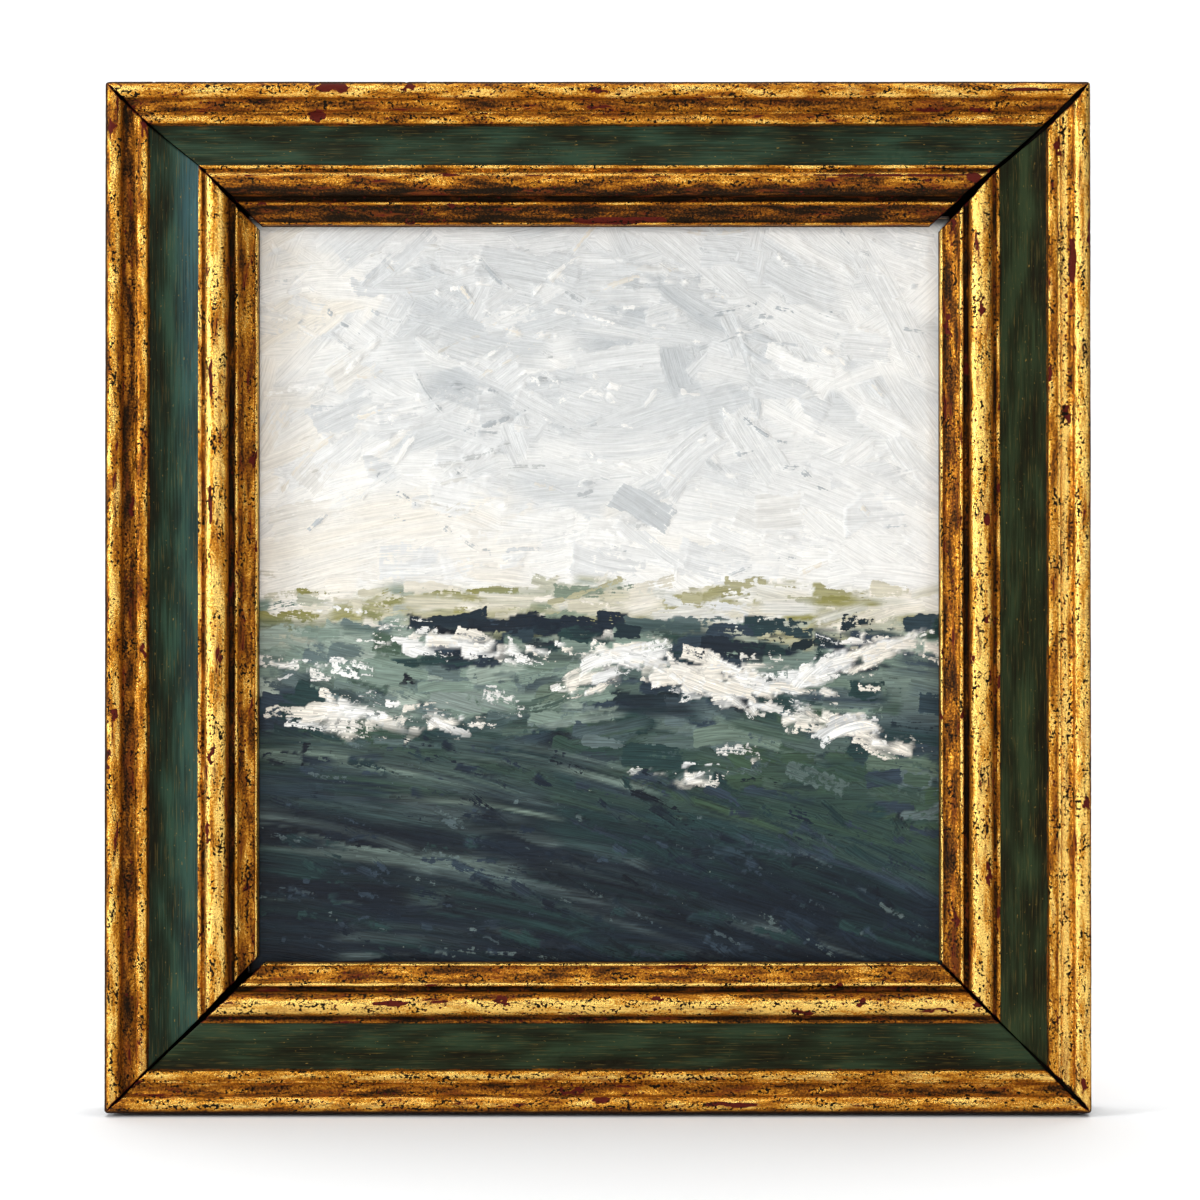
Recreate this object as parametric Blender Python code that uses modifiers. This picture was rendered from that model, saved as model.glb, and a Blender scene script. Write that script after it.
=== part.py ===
"""Framed oil painting: four mitred cassetta rails, the painted panel in their rebate, and what hangs it.

Metres. +Z is up, the picture faces -Y, and the origin is the hanger's middle notch on the frame's back plane.
"""

import math

import bmesh
import bpy
from mathutils import Matrix, Vector

# Painted panel and the rebate that takes it
PANEL_WIDTH = 0.304
PANEL_HEIGHT = 0.328
PANEL_THICKNESS = 0.0055
PANEL_CHAMFER = 0.0015
LIP_COVER = 0.0045
LIP_THICKNESS = 0.0054
REBATE_PLAY = 0.001
REBATE_DEPTH = 0.014
BACK_CHAMFER = 0.001
FIT_GAP = 0.0003

# Widths of the moulding's members, from the outer edge to the sight edge
ROLL_WIDTH = 0.0076
COVE_WIDTH = 0.0056
SHOULDER_WIDTH = 0.0005
BEAD_WIDTH = 0.0046
FRIEZE_WIDTHS = {"top": 0.0172, "bottom": 0.0200, "left": 0.0213, "right": 0.0203}
FILLET_WIDTH = 0.0018
QUIRK_WIDTH = 0.0010
TORUS_WIDTH = 0.0105
GROOVE_WIDTH = 0.0019
ASTRAGAL_WIDTH = 0.0021
BAND_WIDTH = 0.0061
SIGHT_BEAD_WIDTH = 0.0016

# How far the members rise from each other, and how far each swells or sinks from its own edges
SIGHT_RISE = 0.0013
BAND_LIFT = 0.0004
BAND_FALL = 0.0040
BAND_HOLLOW = 0.0005
ASTRAGAL_RISE = 0.0014
GROOVE_DEPTH = 0.0012
FRIEZE_ABOVE_SIGHT = 0.0060
FRIEZE_HOLLOW = 0.0011
FILLET_STEP = 0.0016
QUIRK_DEPTH = 0.0008
TORUS_RISE = 0.0046
BEAD_STEP = 0.0027
BEAD_RISE = 0.0009
ROLL_STEP = 0.0007
ROLL_RISE = 0.0032
COVE_DEPTH = 0.0016

# Opened mitres: each stands open in front of this height, and behind it the glued joint is still tight
OPENING_FLOOR = 0.009
OPENING_RAMP = 0.0005
# Stations along a mitre: the share of the way from the outer to the sight corner, then how far the wood has
# drawn back on the level rail's side and on the upright's side
MITRE_OPENINGS = {
    "top_left": [
        (0.0, 0.0006, 0.0007),
        (0.4, 0.0003, 0.0003),
        (0.58, 0.0003, 0.0003),
        (0.8, 0.0013, 0.0013),
        (1.0, 0.0012, 0.0014),
    ],
    "top_right": [
        (0.0, 0.0008, 0.0009),
        (0.2, 0.0014, 0.0015),
        (0.5, 0.0010, 0.0010),
        (0.72, 0.0020, 0.0013),
        (0.86, 0.0028, 0.0017),
        (1.0, 0.0036, 0.0019),
    ],
    "bottom_left": [
        (0.0, 0.0005, 0.0005),
        (0.4, 0.0007, 0.0007),
        (0.7, 0.0017, 0.0017),
        (0.83, 0.0018, 0.0018),
        (1.0, 0.0025, 0.0024),
    ],
    "bottom_right": [
        (0.0, 0.0008, 0.0009),
        (0.22, 0.0011, 0.0012),
        (0.48, 0.0003, 0.0003),
        (0.68, 0.0010, 0.0010),
        (0.86, 0.0005, 0.0005),
        (1.0, 0.0008, 0.0008),
    ],
}

# Brads that keep the panel in the rebate
BRAD_RADIUS = 0.0008
BRAD_HEAD_RADIUS = 0.0014
BRAD_HEAD_HEIGHT = 0.0008
BRAD_POINT = 0.0016
BRAD_EXPOSED = 0.010
BRAD_BURIED = 0.007
BRAD_FROM_CORNER = 0.075

# Sawtooth hanger
HANGER_DROP = 0.026
HANGER_LENGTH = 0.048
HANGER_HEIGHT = 0.012
HANGER_THICKNESS = 0.001
HANGER_CORNER = 0.003
BRIDGE_LENGTH = 0.022
BRIDGE_SLOPE = 0.0035
BRIDGE_LIFT = 0.0014
TOOTH_COUNT = 9
TOOTH_PITCH = 0.0022
TOOTH_DEPTH = 0.0012
SCREW_INSET = 0.0055
SCREW_RADIUS = 0.0011
SCREW_POINT = 0.0033
SCREW_HEAD_RADIUS = 0.0024
SCREW_HEAD_HEIGHT = 0.0013
SCREW_LENGTH = 0.011
SLOT_WIDTH = 0.0006
SLOT_DEPTH = 0.0005
DRILL_MARGIN = 0.004

# Heights above the back plane that follow from the rises
SIGHT_BASE = REBATE_DEPTH + LIP_THICKNESS
BAND_FOOT = SIGHT_BASE + BAND_LIFT
BAND_TOP = BAND_FOOT + BAND_FALL
GROOVE_FLOOR = BAND_TOP - GROOVE_DEPTH
FRIEZE_HEIGHT = SIGHT_BASE + FRIEZE_ABOVE_SIGHT
FILLET_HEIGHT = FRIEZE_HEIGHT + FILLET_STEP
QUIRK_FLOOR = FILLET_HEIGHT - QUIRK_DEPTH
BEAD_BASE = FRIEZE_HEIGHT + BEAD_STEP
ROLL_BASE = BEAD_BASE + ROLL_STEP
ROLL_CROWN = ROLL_BASE + ROLL_RISE

# Members from the outer to the sight edge: shape, width, height at each edge, and the swell between them
MEMBERS = {
    "roll": ("round", ROLL_WIDTH, ROLL_BASE, ROLL_BASE, ROLL_RISE),
    "cove": ("round", COVE_WIDTH, ROLL_BASE, ROLL_BASE, -COVE_DEPTH),
    "shoulder": ("flat", SHOULDER_WIDTH, BEAD_BASE, BEAD_BASE, 0.0),
    "bead": ("round", BEAD_WIDTH, BEAD_BASE, BEAD_BASE, BEAD_RISE),
    "frieze": ("hollow", FRIEZE_WIDTHS, FRIEZE_HEIGHT, FRIEZE_HEIGHT, -FRIEZE_HOLLOW),
    "fillet": ("flat", FILLET_WIDTH, FILLET_HEIGHT, FILLET_HEIGHT, 0.0),
    "quirk": ("flat", QUIRK_WIDTH, QUIRK_FLOOR, QUIRK_FLOOR, 0.0),
    "torus": ("round", TORUS_WIDTH, QUIRK_FLOOR, QUIRK_FLOOR, TORUS_RISE),
    "groove": ("flat", GROOVE_WIDTH, GROOVE_FLOOR, GROOVE_FLOOR, 0.0),
    "astragal": ("round", ASTRAGAL_WIDTH, BAND_TOP, BAND_TOP, ASTRAGAL_RISE),
    "band": ("hollow", BAND_WIDTH, BAND_TOP, BAND_FOOT, -BAND_HOLLOW),
    "sight_bead": ("round", SIGHT_BEAD_WIDTH, SIGHT_BASE, SIGHT_BASE, SIGHT_RISE),
}

# Lengths and places that follow
OUTER_WIDTH = ROLL_WIDTH + COVE_WIDTH + SHOULDER_WIDTH + BEAD_WIDTH
INNER_WIDTH = (
    FILLET_WIDTH + QUIRK_WIDTH + TORUS_WIDTH + GROOVE_WIDTH + ASTRAGAL_WIDTH + BAND_WIDTH + SIGHT_BEAD_WIDTH
)
RAIL_WIDTHS = {side: OUTER_WIDTH + frieze + INNER_WIDTH for side, frieze in FRIEZE_WIDTHS.items()}
SIGHT_WIDTH = PANEL_WIDTH - 2 * LIP_COVER
SIGHT_HEIGHT = PANEL_HEIGHT - 2 * LIP_COVER
FRAME_WIDTH = SIGHT_WIDTH + RAIL_WIDTHS["left"] + RAIL_WIDTHS["right"]
FRAME_HEIGHT = SIGHT_HEIGHT + RAIL_WIDTHS["top"] + RAIL_WIDTHS["bottom"]
REBATE_WIDTH = LIP_COVER + REBATE_PLAY
TOP_EDGE = HANGER_DROP
BOTTOM_EDGE = TOP_EDGE - FRAME_HEIGHT
LEFT_EDGE = -FRAME_WIDTH / 2
RIGHT_EDGE = FRAME_WIDTH / 2
CENTRE_Z = (TOP_EDGE + BOTTOM_EDGE) / 2
PANEL_FRONT = REBATE_DEPTH - FIT_GAP
PANEL_BACK = PANEL_FRONT - PANEL_THICKNESS
SCREW_SEAT = HANGER_THICKNESS + 2 * FIT_GAP

ROUND_STEPS = 10
HOLLOW_STEPS = 6
CORNER_STEPS = 6
ROUND_SIDES = 24
BRAD_SIDES = 12
SMOOTH_ANGLE = math.radians(30)

# Each rail: the way its width runs inwards, the middle of its outer edge, its outer length, and the rails
# that it meets at its near and far end
RAILS = {
    "top": (Vector((0, 0, -1)), Vector((0, 0, TOP_EDGE)), FRAME_WIDTH, ("right", "left")),
    "bottom": (Vector((0, 0, 1)), Vector((0, 0, BOTTOM_EDGE)), FRAME_WIDTH, ("left", "right")),
    "left": (Vector((1, 0, 0)), Vector((LEFT_EDGE, 0, CENTRE_Z)), FRAME_HEIGHT, ("top", "bottom")),
    "right": (Vector((-1, 0, 0)), Vector((RIGHT_EDGE, 0, CENTRE_Z)), FRAME_HEIGHT, ("bottom", "top")),
}
FRONT = Vector((0, -1, 0))
BACK = Vector((0, 1, 0))


def clear_scene():
    """Removes everything that the scene holds."""
    for obj in list(bpy.data.objects):
        bpy.data.objects.remove(obj)


def new_collection(name):
    collection = bpy.data.collections.new(name)
    bpy.context.scene.collection.children.link(collection)
    return collection


def material(name, colour, roughness, metallic=0.0):
    """A Principled BSDF of one colour."""
    made = bpy.data.materials.new(name)
    made.use_nodes = True
    shader = made.node_tree.nodes["Principled BSDF"]
    shader.inputs["Base Color"].default_value = (*colour, 1.0)
    shader.inputs["Roughness"].default_value = roughness
    shader.inputs["Metallic"].default_value = metallic
    return made


def link(name, mesh, collection, finish=None):
    """Puts a mesh into a collection as a named object, with its material."""
    obj = bpy.data.objects.new(name, mesh)
    collection.objects.link(obj)
    if finish:
        mesh.materials.clear()
        mesh.materials.append(finish)
    return obj


def mesh_from(name, shape):
    """Turns a bmesh into a mesh and frees it."""
    mesh = bpy.data.meshes.new(name)
    shape.to_mesh(mesh)
    shape.free()
    return mesh


def arc(centre, radii, start, end, steps=CORNER_STEPS):
    """Points of an ellipse's arc from one angle to the other, in degrees."""
    turns = [math.radians(start + (end - start) * i / steps) for i in range(steps + 1)]
    return [(centre[0] + radii[0] * math.cos(t), centre[1] + radii[1] * math.sin(t)) for t in turns]


def member_points(shape, start, width, outer, inner, swell):
    """One member's section from outer to inner edge: half an ellipse, a shallow parabola or a flat."""
    if shape == "round":
        return arc((start + width / 2, outer), (width / 2, swell), 180, 0, ROUND_STEPS)
    steps = HOLLOW_STEPS if shape == "hollow" else 1
    points = []
    for i in range(steps + 1):
        share = i / steps
        height = outer + (inner - outer) * share + 4 * swell * share * (1 - share)
        points.append((start + width * share, height))
    return points


def moulding_outline(side):
    """The section of one side's rail, as (in from the outer edge, above the back plane)."""
    outline = [(0.0, BACK_CHAMFER)]
    start = 0.0
    for name, (shape, width, outer, inner, swell) in MEMBERS.items():
        if name == "frieze":
            width = FRIEZE_WIDTHS[side]
        outline += member_points(shape, start, width, outer, inner, swell)
        start += width
    wall = RAIL_WIDTHS[side] - REBATE_WIDTH
    outline += [(RAIL_WIDTHS[side], REBATE_DEPTH), (wall, REBATE_DEPTH), (wall, 0.0), (BACK_CHAMFER, 0.0)]
    return outline


def extruded(name, outline, thickness, collection):
    """A flat outline as a closed mesh, thickness deep and centred on its own XY plane."""
    curve = bpy.data.curves.new(name, "CURVE")
    curve.dimensions = "2D"
    curve.fill_mode = "BOTH"
    curve.extrude = thickness / 2
    corners = [point for i, point in enumerate(outline) if math.dist(point, outline[i - 1]) > 1e-7]
    spline = curve.splines.new("POLY")
    spline.points.add(len(corners) - 1)
    for point, (x, y) in zip(spline.points, corners):
        point.co = (x, y, 0, 1)
    spline.use_cyclic_u = True
    drawn = bpy.data.objects.new(name + "_outline", curve)
    collection.objects.link(drawn)
    bpy.context.view_layer.update()
    graph = bpy.context.evaluated_depsgraph_get()
    filled = bpy.data.meshes.new_from_object(drawn.evaluated_get(graph))
    bpy.data.objects.remove(drawn)
    shape = bmesh.new()
    shape.from_mesh(filled)
    bmesh.ops.remove_doubles(shape, verts=shape.verts, dist=1e-6)
    bmesh.ops.recalc_face_normals(shape, faces=shape.faces)
    return mesh_from(name, shape)


def turned(name, profile, sides, collection, finish):
    """A solid turned about its own Z axis. Its (radius, height) profile runs down, from axis to axis."""
    shape = bmesh.new()
    verts = [shape.verts.new((radius, 0, height)) for radius, height in profile]
    for first, second in zip(verts, verts[1:]):
        shape.edges.new((first, second))
    obj = link(name, mesh_from(name, shape), collection, finish)
    screw = obj.modifiers.new("turn", "SCREW")
    screw.steps = sides
    screw.render_steps = sides
    screw.use_merge_vertices = True
    screw.merge_threshold = 0.00002
    screw.use_smooth_shade = True
    return obj


def block(name, size, collection, finish=None):
    shape = bmesh.new()
    bmesh.ops.create_cube(shape, size=1.0)
    bmesh.ops.scale(shape, vec=size, verts=shape.verts)
    return link(name, mesh_from(name, shape), collection, finish)


def pointing(axis):
    """The turn that lays a piece's own Z axis along an axis of the frame."""
    return axis.to_track_quat("Z", "Y").to_matrix().to_4x4()


def as_cutter(obj):
    obj.hide_render = True
    obj.display_type = "WIRE"
    return obj


def cut_with(obj, cutter):
    boolean = obj.modifiers.new("cut_" + cutter.name, "BOOLEAN")
    boolean.operation = "DIFFERENCE"
    boolean.solver = "EXACT"
    boolean.object = cutter


def drill(name, mouth, into, radius, depth, collection):
    """A round cutter that goes in at a mouth to a depth and stands a margin out of it."""
    shape = bmesh.new()
    bmesh.ops.create_cone(
        shape,
        cap_ends=True,
        segments=ROUND_SIDES,
        radius1=radius,
        radius2=radius,
        depth=depth + DRILL_MARGIN,
    )
    cutter = link(name, mesh_from(name, shape), collection)
    cutter.matrix_world = Matrix.Translation(mouth + into * (depth - DRILL_MARGIN) / 2) @ pointing(into)
    return as_cutter(cutter)


def between(stops, values, place):
    """The value at a place along a broken line, whose ends stay level beyond its first and last stop."""
    place = min(stops[-1], max(stops[0], place))
    i = sum(place >= stop for stop in stops[1:-1])
    part = (place - stops[i]) / (stops[i + 1] - stops[i])
    return values[i] + (values[i + 1] - values[i]) * part


def joint_stops(side):
    """Where the joint bends, measured in from a rail's outer edge: only the friezes differ in width."""
    return (0.0, OUTER_WIDTH, OUTER_WIDTH + FRIEZE_WIDTHS[side], RAIL_WIDTHS[side])


def rail_end(side, other, inwards, opened):
    """How far from the outer corner a rail ends, at a distance inwards from its outer edge.

    The joint runs through the crossings of like members. Each rail stands back from it, square to the mitre,
    by its share of the opening or by half the fit gap.
    """
    level, upright = (side, other) if side in ("top", "bottom") else (other, side)
    stations = MITRE_OPENINGS[f"{level}_{upright}"]
    column = 1 if side == level else 2
    gap = FIT_GAP / 2
    if opened:
        shares = [station[0] for station in stations]
        gap = between(shares, [station[column] for station in stations], inwards / RAIL_WIDTHS[side])
    return between(joint_stops(side), joint_stops(other), inwards) + math.sqrt(2) * gap


def rail(side, collection, finish):
    """One mitred length of the moulding, with its back on the plane Y = 0.

    A square-ended bar is cut along every line where its ends change. Its end points then slide to the joint.
    """
    inwards, outer_middle, length, ends = RAILS[side]
    name = "rail_" + side
    mesh = extruded(name, moulding_outline(side), length, collection)
    shape = bmesh.new()
    shape.from_mesh(mesh)
    corners = [MITRE_OPENINGS[corner] for corner in MITRE_OPENINGS if side in corner]
    shares = {station[0] for stations in corners for station in stations}
    lines = {share * RAIL_WIDTHS[side] for share in shares} | set(joint_stops(side))
    lines = [line for line in sorted(lines) if 0 < line < RAIL_WIDTHS[side]]
    cuts = [((line, 0, 0), (1, 0, 0)) for line in lines]
    cuts += [((0, height, 0), (0, 1, 0)) for height in (OPENING_FLOOR - OPENING_RAMP, OPENING_FLOOR)]
    for point, normal in cuts:
        everything = [*shape.verts, *shape.edges, *shape.faces]
        bmesh.ops.bisect_plane(shape, geom=everything, dist=1e-6, plane_co=point, plane_no=normal)
    for vert in shape.verts:
        far_end = vert.co.z > 0
        opened = vert.co.y > OPENING_FLOOR - OPENING_RAMP / 2
        back = rail_end(side, ends[far_end], vert.co.x, opened)
        vert.co.z = (length / 2 - back) * (1 if far_end else -1)
    shape.to_mesh(mesh)
    shape.free()
    obj = link(name, mesh, collection, finish)
    turn = Matrix((inwards, FRONT, inwards.cross(FRONT))).transposed()
    obj.matrix_world = Matrix.Translation(outer_middle) @ turn.to_4x4()
    return obj


def painted_panel(collection, finish):
    """The board with its ground and paint. It stands on the lower rebate, chamfered round its back."""
    obj = block("painted_panel", (PANEL_WIDTH, PANEL_THICKNESS, PANEL_HEIGHT), collection, finish)
    left = LEFT_EDGE + RAIL_WIDTHS["left"] - LIP_COVER
    seat = BOTTOM_EDGE + RAIL_WIDTHS["bottom"] - REBATE_WIDTH + FIT_GAP
    obj.location = (left + PANEL_WIDTH / 2, -(PANEL_FRONT + PANEL_BACK) / 2, seat + PANEL_HEIGHT / 2)
    weights = obj.data.attributes.new("bevel_weight_edge", "FLOAT", "EDGE")
    for edge in obj.data.edges:
        at_back = all(obj.data.vertices[i].co.y > 0 for i in edge.vertices)
        weights.data[edge.index].value = 1.0 if at_back else 0.0
    chamfer = obj.modifiers.new("chamfer", "BEVEL")
    chamfer.width = PANEL_CHAMFER
    chamfer.segments = 1
    chamfer.limit_method = "WEIGHT"
    return obj


def brads(rails, collection, cutters, finish):
    """Two headed pins a side, driven into the rebate wall with their heads over the panel's back."""
    profile = [
        (0, BRAD_EXPOSED),
        (BRAD_HEAD_RADIUS, BRAD_EXPOSED),
        (BRAD_HEAD_RADIUS, BRAD_EXPOSED - BRAD_HEAD_HEIGHT),
        (BRAD_RADIUS, BRAD_EXPOSED - BRAD_HEAD_HEIGHT),
        (BRAD_RADIUS, BRAD_POINT - BRAD_BURIED),
        (0, -BRAD_BURIED),
    ]
    height = PANEL_BACK - FIT_GAP - BRAD_HEAD_RADIUS
    for side in RAILS:
        inwards, outer_middle, length, _ = RAILS[side]
        along = inwards.cross(FRONT)
        wall_in = RAIL_WIDTHS[side] - REBATE_WIDTH
        reach = length / 2 - wall_in - BRAD_FROM_CORNER
        for number, end in enumerate((-1, 1), 1):
            name = f"brad_{side}_{number}"
            wall = outer_middle + inwards * wall_in + FRONT * height + along * reach * end
            pin = turned(name, profile, BRAD_SIDES, collection, finish)
            pin.matrix_world = Matrix.Translation(wall) @ pointing(inwards)
            hole = drill(
                name + "_hole", wall, -inwards, BRAD_RADIUS + FIT_GAP, BRAD_BURIED + FIT_GAP, cutters
            )
            cut_with(rails[side], hole)


def hanger_outline():
    """The sawtooth plate: rounded corners, and notches cut up into the middle of its lower edge."""
    half_length = HANGER_LENGTH / 2
    half_teeth = TOOTH_COUNT * TOOTH_PITCH / 2
    low = -TOOTH_DEPTH
    high = low + HANGER_HEIGHT
    corner = (HANGER_CORNER, HANGER_CORNER)
    outline = []
    for tooth in range(TOOTH_COUNT):
        left = -half_teeth + tooth * TOOTH_PITCH
        outline += [(left, low), (left + TOOTH_PITCH / 2, 0.0)]
    outline += [(half_teeth, low)]
    outline += arc((half_length - HANGER_CORNER, low + HANGER_CORNER), corner, -90, 0)
    outline += arc((half_length - HANGER_CORNER, high - HANGER_CORNER), corner, 0, 90)
    outline += arc((-half_length + HANGER_CORNER, high - HANGER_CORNER), corner, 90, 180)
    outline += arc((-half_length + HANGER_CORNER, low + HANGER_CORNER), corner, 180, 270)
    return outline


def hanger_plate(collection, finish):
    """A pressed plate whose toothed middle stands off the wood, so that a nail's head goes behind it."""
    mesh = extruded("hanger_plate", hanger_outline(), HANGER_THICKNESS, collection)
    shape = bmesh.new()
    shape.from_mesh(mesh)
    bridge = BRIDGE_LENGTH / 2
    foot = bridge + BRIDGE_SLOPE
    for x in (-foot, -bridge, bridge, foot):
        everything = [*shape.verts, *shape.edges, *shape.faces]
        bmesh.ops.bisect_plane(shape, geom=everything, dist=1e-7, plane_co=(x, 0, 0), plane_no=(1, 0, 0))
    for vert in shape.verts:
        vert.co.z -= BRIDGE_LIFT * min(1.0, max(0.0, (foot - abs(vert.co.x)) / BRIDGE_SLOPE))
    shape.to_mesh(mesh)
    shape.free()
    obj = link("hanger_plate", mesh, collection, finish)
    # Drawn in X and Z, and its lift, drawn downwards, turns to the wall
    obj.rotation_euler = (math.pi / 2, 0, 0)
    obj.location = BACK * (FIT_GAP + HANGER_THICKNESS / 2)
    return obj


def hanger_screw(name, place, collection, cutters, finish):
    """A round-headed screw with its slot: the head on the plate, the shank in the rail."""
    dome = arc((0, SCREW_SEAT), (SCREW_HEAD_RADIUS, SCREW_HEAD_HEIGHT), 90, 0)[1:]
    profile = [(0, SCREW_SEAT + SCREW_HEAD_HEIGHT), *dome]
    profile += [(SCREW_RADIUS, SCREW_SEAT), (SCREW_RADIUS, SCREW_POINT - SCREW_LENGTH), (0, -SCREW_LENGTH)]
    obj = turned(name, profile, ROUND_SIDES, collection, finish)
    obj.matrix_world = Matrix.Translation(place) @ pointing(BACK)
    slot = block(name + "_slot", (2.5 * SCREW_HEAD_RADIUS, 2 * SLOT_DEPTH, SLOT_WIDTH), cutters)
    slot.location = place + BACK * (SCREW_SEAT + SCREW_HEAD_HEIGHT)
    cut_with(obj, as_cutter(slot))
    return obj


def hanger(rail_top, collection, cutters, steel, brass):
    """The plate and its two screws, with the holes that they pass through."""
    plate = hanger_plate(collection, steel)
    for side, way in (("left", -1), ("right", 1)):
        name = "hanger_screw_" + side
        place = Vector((way * (HANGER_LENGTH / 2 - SCREW_INSET), 0, HANGER_HEIGHT / 2 - TOOTH_DEPTH))
        hanger_screw(name, place, collection, cutters, brass)
        hole = drill(
            name + "_hole", place, FRONT, SCREW_RADIUS + FIT_GAP, SCREW_LENGTH + FIT_GAP, cutters
        )
        cut_with(plate, hole)
        cut_with(rail_top, hole)


def build():
    clear_scene()
    parts = new_collection("framed_oil_painting")
    cutters = new_collection("cutters")

    gilded = material("gilded_moulding", (0.58, 0.36, 0.10), 0.35, 0.6)
    paint = material("oil_paint", (0.42, 0.47, 0.46), 0.45)
    steel = material("zinc_steel", (0.55, 0.55, 0.53), 0.4, 1.0)
    brass = material("brass", (0.62, 0.46, 0.20), 0.35, 1.0)

    rails = {side: rail(side, parts, gilded) for side in RAILS}
    painted_panel(parts, paint)
    brads(rails, parts, cutters, steel)
    hanger(rails["top"], parts, cutters, steel, brass)

    for obj in parts.objects:
        obj.data.shade_smooth()
        obj.data.set_sharp_from_angle(angle=SMOOTH_ANGLE)


build()
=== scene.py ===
# %% [markdown]
# # A small seascape in a worn gilt frame
#
# The frame is a cassetta moulding: a gilded outer roll, a dark green frieze and gilded sight members. Its
# mitres have opened with age. The picture is oil on a rigid board, laid on thickly with knives and brushes.
#
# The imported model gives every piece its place. This script gives the four rails and the painted board their
# worn surfaces, and gives each smaller piece its finish.

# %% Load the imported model
import math

import bpy
import numpy as np
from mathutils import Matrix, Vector


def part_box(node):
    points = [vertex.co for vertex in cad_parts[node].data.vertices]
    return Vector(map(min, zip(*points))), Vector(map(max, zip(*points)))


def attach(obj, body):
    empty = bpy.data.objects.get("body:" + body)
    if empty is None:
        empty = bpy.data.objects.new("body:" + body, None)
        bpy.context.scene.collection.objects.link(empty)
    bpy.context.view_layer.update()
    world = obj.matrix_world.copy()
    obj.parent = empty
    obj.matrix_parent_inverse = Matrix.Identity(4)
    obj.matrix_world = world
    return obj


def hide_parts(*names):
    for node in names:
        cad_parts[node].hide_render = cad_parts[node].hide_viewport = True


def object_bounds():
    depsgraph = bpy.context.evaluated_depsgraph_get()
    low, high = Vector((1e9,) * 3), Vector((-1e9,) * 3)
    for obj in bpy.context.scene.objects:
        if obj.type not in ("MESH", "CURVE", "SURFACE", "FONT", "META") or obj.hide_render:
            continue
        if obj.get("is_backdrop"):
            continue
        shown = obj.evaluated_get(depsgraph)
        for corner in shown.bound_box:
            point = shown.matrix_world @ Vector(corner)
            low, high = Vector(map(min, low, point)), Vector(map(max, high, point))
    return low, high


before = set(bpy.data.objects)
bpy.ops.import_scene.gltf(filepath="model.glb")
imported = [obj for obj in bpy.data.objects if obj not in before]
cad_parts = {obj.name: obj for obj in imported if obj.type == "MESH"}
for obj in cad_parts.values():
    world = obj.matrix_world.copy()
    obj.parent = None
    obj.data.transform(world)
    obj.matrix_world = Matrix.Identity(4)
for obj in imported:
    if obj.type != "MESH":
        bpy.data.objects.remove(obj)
cad_low, cad_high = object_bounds()
MM = 0.001
print("pieces in the frame:", len(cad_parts))
print("size in mm:", [round((high - low) / MM, 1) for low, high in zip(cad_low, cad_high)])

# %% [markdown]
# ## The camera
#
# The photograph looks straight at the picture from a little over a metre, with a short telephoto lens. The
# camera stands as high as the middle of the frame and tilts up by less than half a degree. Its distance
# follows from how much more the front edges spread than the painting, which lies deeper.

# %% Camera
CAMERA_DISTANCE = 1.2
CAMERA_HEIGHT = -0.2045
CAMERA_ACROSS = 0.0009
CAMERA_LENS = 81.9
CAMERA_TILT = math.radians(0.38)


def add_camera():
    """A camera that looks along +Y, tilted up a little."""
    camera = bpy.data.objects.new("camera", bpy.data.cameras.new("camera"))
    camera.data.lens = CAMERA_LENS
    camera.location = (CAMERA_ACROSS, -CAMERA_DISTANCE, CAMERA_HEIGHT)
    camera.rotation_euler = (math.pi / 2 + CAMERA_TILT, 0, 0)
    bpy.context.collection.objects.link(camera)
    bpy.context.scene.camera = camera
    return camera


camera = add_camera()
print("camera:", [round(value, 4) for value in camera.location], "lens", camera.data.lens)

# %% [markdown]
# ## Floor and light
#
# The frame stands out from a white sweep: a floor that bends up into a backdrop well behind it. A large
# soft light from the upper left draws the bright lines on the upright rolls, and a broad light in front
# lights the crests and leaves the hollows dark. The world is a pale grey, for the metal to reflect.

# %% Floor, backdrop and lights
FLOOR_GAP = 0.0012
SWEEP_FRONT = -3.0
SWEEP_BACK = 2.2
SWEEP_RADIUS = 0.8
SWEEP_TOP = 3.0
SWEEP_HALF_WIDTH = 3.5


def add_sweep():
    """A floor, a quarter circle and a wall, as one strip carried across the scene."""
    floor = cad_low[2] - FLOOR_GAP
    turn = np.linspace(-np.pi / 2, 0, 25)
    bend = SWEEP_BACK + SWEEP_RADIUS * np.cos(turn)
    along = np.concatenate([[SWEEP_FRONT], bend, [SWEEP_BACK + SWEEP_RADIUS]])
    height = np.concatenate([[0], SWEEP_RADIUS * (1 + np.sin(turn)), [SWEEP_TOP]]) + floor
    count = len(along)
    left = np.stack([np.full(count, -SWEEP_HALF_WIDTH), along, height], 1)
    right = left * (-1, 1, 1)
    faces = [(i, count + i, count + i + 1, i + 1) for i in range(count - 1)]
    mesh = bpy.data.meshes.new("sweep")
    mesh.from_pydata(np.concatenate([left, right]).tolist(), [], faces)
    mesh.shade_smooth()
    sweep = bpy.data.objects.new("sweep", mesh)
    bpy.context.collection.objects.link(sweep)
    white = bpy.data.materials.new("white_paper")
    white.use_nodes = True
    shader = white.node_tree.nodes["Principled BSDF"].inputs
    shader["Base Color"].default_value = (0.93, 0.93, 0.93, 1)
    shader["Roughness"].default_value = 0.9
    mesh.materials.append(white)
    sweep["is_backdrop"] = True


def add_light(name, place, target, size, power, colour=(1, 1, 1)):
    """A rectangular area light that faces a point."""
    data = bpy.data.lights.new(name, "AREA")
    data.shape = "RECTANGLE"
    data.size, data.size_y = size
    data.energy = power
    data.color = colour
    light = bpy.data.objects.new(name, data)
    light.location = place
    way = (np.array(target) - np.array(place)).tolist()
    light.rotation_euler = Vector(way).to_track_quat("-Z", "Y").to_euler()
    bpy.context.collection.objects.link(light)


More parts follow.
